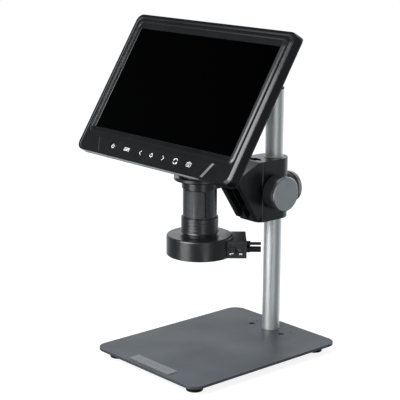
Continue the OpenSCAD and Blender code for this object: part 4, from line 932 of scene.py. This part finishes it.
def make_power_button():
    centre = (POWER_X, KEY_ROW, 0)
    profile = round_corner([(0, -2.0), (5.8, -2.0), (5.8, -0.9), (4.6, -0.9), (4.6, 2.1), (4.3, 2.35), (3.9, 2.3),
                            (0, 2.0)], 0.2)
    points, faces = turned(profile, centre, steps=64)
    button = piece_from("power_button_dished", points, faces, place=screen_frame)
    wear_on(button, "power_button")
    mark = joined([stroke(arc(1.9, 122, 418, 22), 0.62, low=2.0, high=2.33),
                   stroke([(0, 0.4), (0, 2.6)], 0.6, low=2.0, high=2.35)])
    points, faces = shifted(mark, POWER_X, KEY_ROW)
    icon = piece_from("power_symbol", points, faces, place=screen_frame)
    wear_on(icon, "power_button", slot="led_board_white", material=white_print, instead=False)


def make_icons():
    """Plain key symbols: list, arrows, ring, turn and camera, each given where it stands along the row."""
    print_height = 2.4
    symbols = {
        -41.0: [stroke([(-4.6, 1.45 * k), (4.6, 1.45 * k)], 0.6) for k in (-1, 0, 1)],
        -17.5: [stroke([(1.3, 2.6), (-1.3, 0), (1.3, -2.6)], 0.6)],
        1.1: [stroke(arc(1.9, 0, 345, 23), 0.6, closed=True)],
        20.6: [stroke([(-1.3, 2.6), (1.3, 0), (-1.3, -2.6)], 0.6)],
        41.1: [],
        62.6: [stroke([(x, y) for x, y, _ in rounded_loop(3.3, -2.3, 1.8, 0.7, 0, steps=3)], 0.45, closed=True),
               stroke(arc(1.1, 0, 340, 17, cy=-0.3), 0.4, closed=True),
               stroke([(-1.2, 2.0), (-0.8, 2.8), (0.8, 2.8), (1.2, 2.0)], 0.4)],
    }
    for start in (20, 200):
        a = math.radians(start + 130)
        out, on = Vector((math.cos(a), math.sin(a))), Vector((-math.sin(a), math.cos(a)))
        tip = out * 3.0
        head = [tip + out - on * 0.9, tip + on * 0.8, tip - out - on * 0.9]
        symbols[41.1] += [stroke(arc(3.0, start, start + 125), 0.6), stroke([tuple(p) for p in head], 0.55)]
    points, faces = joined([shifted(part, x, KEY_ROW) for x, parts in symbols.items() for part in parts])
    icons = piece_from("key_symbols", [(x, y, h + print_height) for x, y, h in points], faces, place=screen_frame)
    wear_on(icons, "key_overlay", slot="led_board_white", material=white_print, instead=False)


def make_screen():
    """The glass-fronted panel, with a printed black edge."""
    margin = 3.5
    loops = [rounded_loop(SCREEN_W / 2 + out, -out, SCREEN_H + out, 0.6, height, 3)
             for out, height in ((margin, -3.2), (margin, -0.95), (margin - 0.15, -0.8))]
    points, faces = lofted(loops, closed=False)
    points, faces = capped(points, faces, len(loops[0]))
    wear_on(piece_from("screen_glass", points, faces, place=screen_frame, angle=30), "lcd_panel")


def cross_head(name, radius, height, thread):
    """A pan-head screw with a cross recess, head up, its seat at zero."""
    shank, mid = radius * 0.5, height * 0.45
    profile = round_corner([(0, -thread), (shank, -thread), (shank, 0), (radius, 0), (radius, mid),
                            (radius * 0.8, height * 0.9), (radius * 0.4, height), (0, height)], 0.15)
    points, faces = turned(profile, (0, 0, 0), steps=32)
    screw = piece_from(name, points, faces, angle=40)
    long, short = radius * 0.62, radius * 0.14
    for a, b in ((short, long), (long, short)):
        corners = [(x, y, z) for z in (mid, height + 1) for x, y in ((-a, -b), (a, -b), (a, b), (-a, b))]
        sides = [(3, 2, 1, 0), (4, 5, 6, 7), (0, 1, 5, 4), (1, 2, 6, 5), (2, 3, 7, 6), (3, 0, 4, 7)]
        cut_away(screw, piece_from("bit", corners, sides))
    return screw


def screw_set(node, sizes, spots, lean=0.0, place=row_frame):
    """The same screw at each spot, head away from the piece it holds; sizes are radius, head height and thread."""
    item = cross_head(node + "_item", *sizes)
    made = grown(node + "_set", FASTENERS, {
        "Fastener": item, "Turn": (lean + math.pi, 0.0, 0.0), "Material": finishes[node_slot[node]]}, spots, place)
    wear_on(shade(made, 40), node)
    bpy.data.objects.remove(item)


def make_screws():
    """Screws that show: behind the hinge plate, in the rear cover and under the feet."""
    lean = math.radians(90 - TILT)
    across, along = HINGE_SCREWS
    screw_set("hinge_screws", (3.0, 1.8, 2.9), [
        (x * across, HINGE_UP + y * along, -MONITOR_DEPTH - 3) for x in (-1, 1) for y in (-1, 1)], lean, screen_frame)
    screw_set("cover_screws", (2.6, 1.8, 6.0), [
        (x * COVER_SCREW_X, y, -MONITOR_DEPTH + 7) for x in (-1, 1) for y in COVER_SCREW_ROWS], lean, screen_frame)
    across, along = FOOT_SCREWS
    screw_set("foot_screws", (3.8, 2.4, 6.3), [(x * across, y * along, 4.5) for x in (-1, 1) for y in (-1, 1)])


def make_rear():
    dressed("rear_cover", "rear_cover_textured", bevel=0.35)
    dressed("tilt_pin", "tilt_pin_turned", bevel=0.3)


make_base()
make_pole()
make_carriage()
make_knobs()
make_barrel()
make_ring_light()
make_switch()
make_bezel()
make_key_panel()
make_power_button()
make_icons()
make_screen()
make_rear()
make_screws()


# ---------- floor, background and light ----------

BEHIND = (-0.567, 0.823, 0)


def ramp(tree, value, start, end, low, high):
    made = shader_node(tree, "ShaderNodeMapRange", {
        "Value": value, "From Min": start, "From Max": end, "To Min": low, "To Max": high},
        interpolation_type="SMOOTHSTEP")
    return made.outputs[0]


def product(tree, a, b):
    return shader_node(tree, "ShaderNodeMath", {0: a, 1: b}, operation="MULTIPLY").outputs[0]


def seen_directly(tree, rays):
    """1 for what the camera sees itself or through clear pieces, 0 for light and reflections."""
    return shader_node(tree, "ShaderNodeMath", {
        0: rays.outputs["Is Camera Ray"], 1: rays.outputs["Is Transmission Ray"]}, operation="MAXIMUM").outputs[0]


def studio_level(tree, vector, dim, bright):
    """Brightness that rises towards the back of the studio and falls off below its table and at its ceiling."""
    dot = shader_node(tree, "ShaderNodeVectorMath", {0: vector, 1: BEHIND}, operation="DOT_PRODUCT")
    rise = shader_node(tree, "ShaderNodeSeparateXYZ", {"Vector": vector}).outputs["Z"]
    level = ramp(tree, dot.outputs["Value"], 0.15, 0.95, dim, bright)
    above_table = product(tree, level, ramp(tree, rise, -0.66, -0.45, 0.08, 1.0))
    return product(tree, above_table, ramp(tree, rise, 0.42, 0.62, 1.0, 0.35))


def make_world():
    world = bpy.data.worlds.new("studio")
    bpy.context.scene.world = world
    world.use_nodes = True
    tree = world.node_tree
    tree.nodes.clear()
    rays = shader_node(tree, "ShaderNodeLightPath")
    direction = shader_node(tree, "ShaderNodeTexCoord").outputs["Generated"]
    plain = shader_node(tree, "ShaderNodeBackground", {"Color": (0.97, 0.985, 1.0, 1), "Strength": 0.5})
    white = shader_node(tree, "ShaderNodeBackground", {"Color": (1, 1, 1, 1), "Strength": 1.0})
    seen = shader_node(tree, "ShaderNodeBackground", {
        "Color": (0.90, 0.965, 1.0, 1), "Strength": studio_level(tree, direction, 0.22, 1.12)})
    first = shader_node(tree, "ShaderNodeMixShader",
                        {0: rays.outputs["Is Glossy Ray"], 1: plain.outputs[0], 2: seen.outputs[0]})
    second = shader_node(tree, "ShaderNodeMixShader",
                         {0: seen_directly(tree, rays), 1: first.outputs[0], 2: white.outputs[0]})
    output = shader_node(tree, "ShaderNodeOutputWorld")
    tree.links.new(second.outputs[0], output.inputs["Surface"])


def make_floor():
    size, drop = 4.0, 0.0003
    corners = [(x * size, y * size, -drop) for x, y in ((-1, -1), (1, -1), (1, 1), (-1, 1))]
    floor = placed_object("floor")
    floor.data.from_pydata(corners, [], [(0, 1, 2, 3)])
    floor.visible_glossy = False
    material = bpy.data.materials.new("pale floor")
    material.use_nodes = True
    tree = material.node_tree
    tree.nodes.clear()
    rays = shader_node(tree, "ShaderNodeLightPath")
    matt = shader_node(tree, "ShaderNodeBsdfDiffuse", {"Color": (0.5, 0.5, 0.5, 1)})
    pale = shader_node(tree, "ShaderNodeBsdfDiffuse", {"Color": (0.3, 0.3, 0.3, 1)})
    glow = shader_node(tree, "ShaderNodeEmission", {"Color": (1, 1, 1, 1), "Strength": 0.86})
    lit = shader_node(tree, "ShaderNodeAddShader", {0: pale.outputs[0], 1: glow.outputs[0]})
    mixed = shader_node(tree, "ShaderNodeMixShader",
                        {0: seen_directly(tree, rays), 1: matt.outputs[0], 2: lit.outputs[0]})
    output = shader_node(tree, "ShaderNodeOutputMaterial")
    tree.links.new(mixed.outputs[0], output.inputs["Surface"])
    floor.data.materials.append(material)


def soft_light(name, place, aim, width, height, radiance):
    """A soft box whose glow has the given radiance, aimed at a point, all in metres."""
    data = bpy.data.lights.new(name, "AREA")
    data.shape = "RECTANGLE"
    data.size = width
    data.size_y = height
    data.energy = radiance * math.pi * width * height
    lamp = bpy.data.objects.new(name, data)
    toward = Vector(place) - Vector(aim)
    lamp.matrix_world = Matrix.Translation(place) @ toward.to_track_quat("Z", "Y").to_matrix().to_4x4()
    lamp.visible_camera = False
    bpy.context.scene.collection.objects.link(lamp)


make_world()
make_floor()
soft_light("front_soft_box", (-0.06, -1.35, 0.2), (0, -0.03, 0.15), 0.8, 1.8, 2.4)
soft_light("side_soft_box", (1.3, -0.5, 0.2), (0, 0, 0.15), 0.4, 1.6, 1.2)
soft_light("upper_soft_box", (0.03, -1.1, 1.0), (0.05, -0.1, 0.3), 0.95, 0.7, 8.5)
soft_light("top_soft_box", (-0.2, 0.2, 1.7), (0, 0, 0.1), 1.6, 1.6, 0.5)

scene = bpy.context.scene
scene.view_settings.view_transform = "Standard"
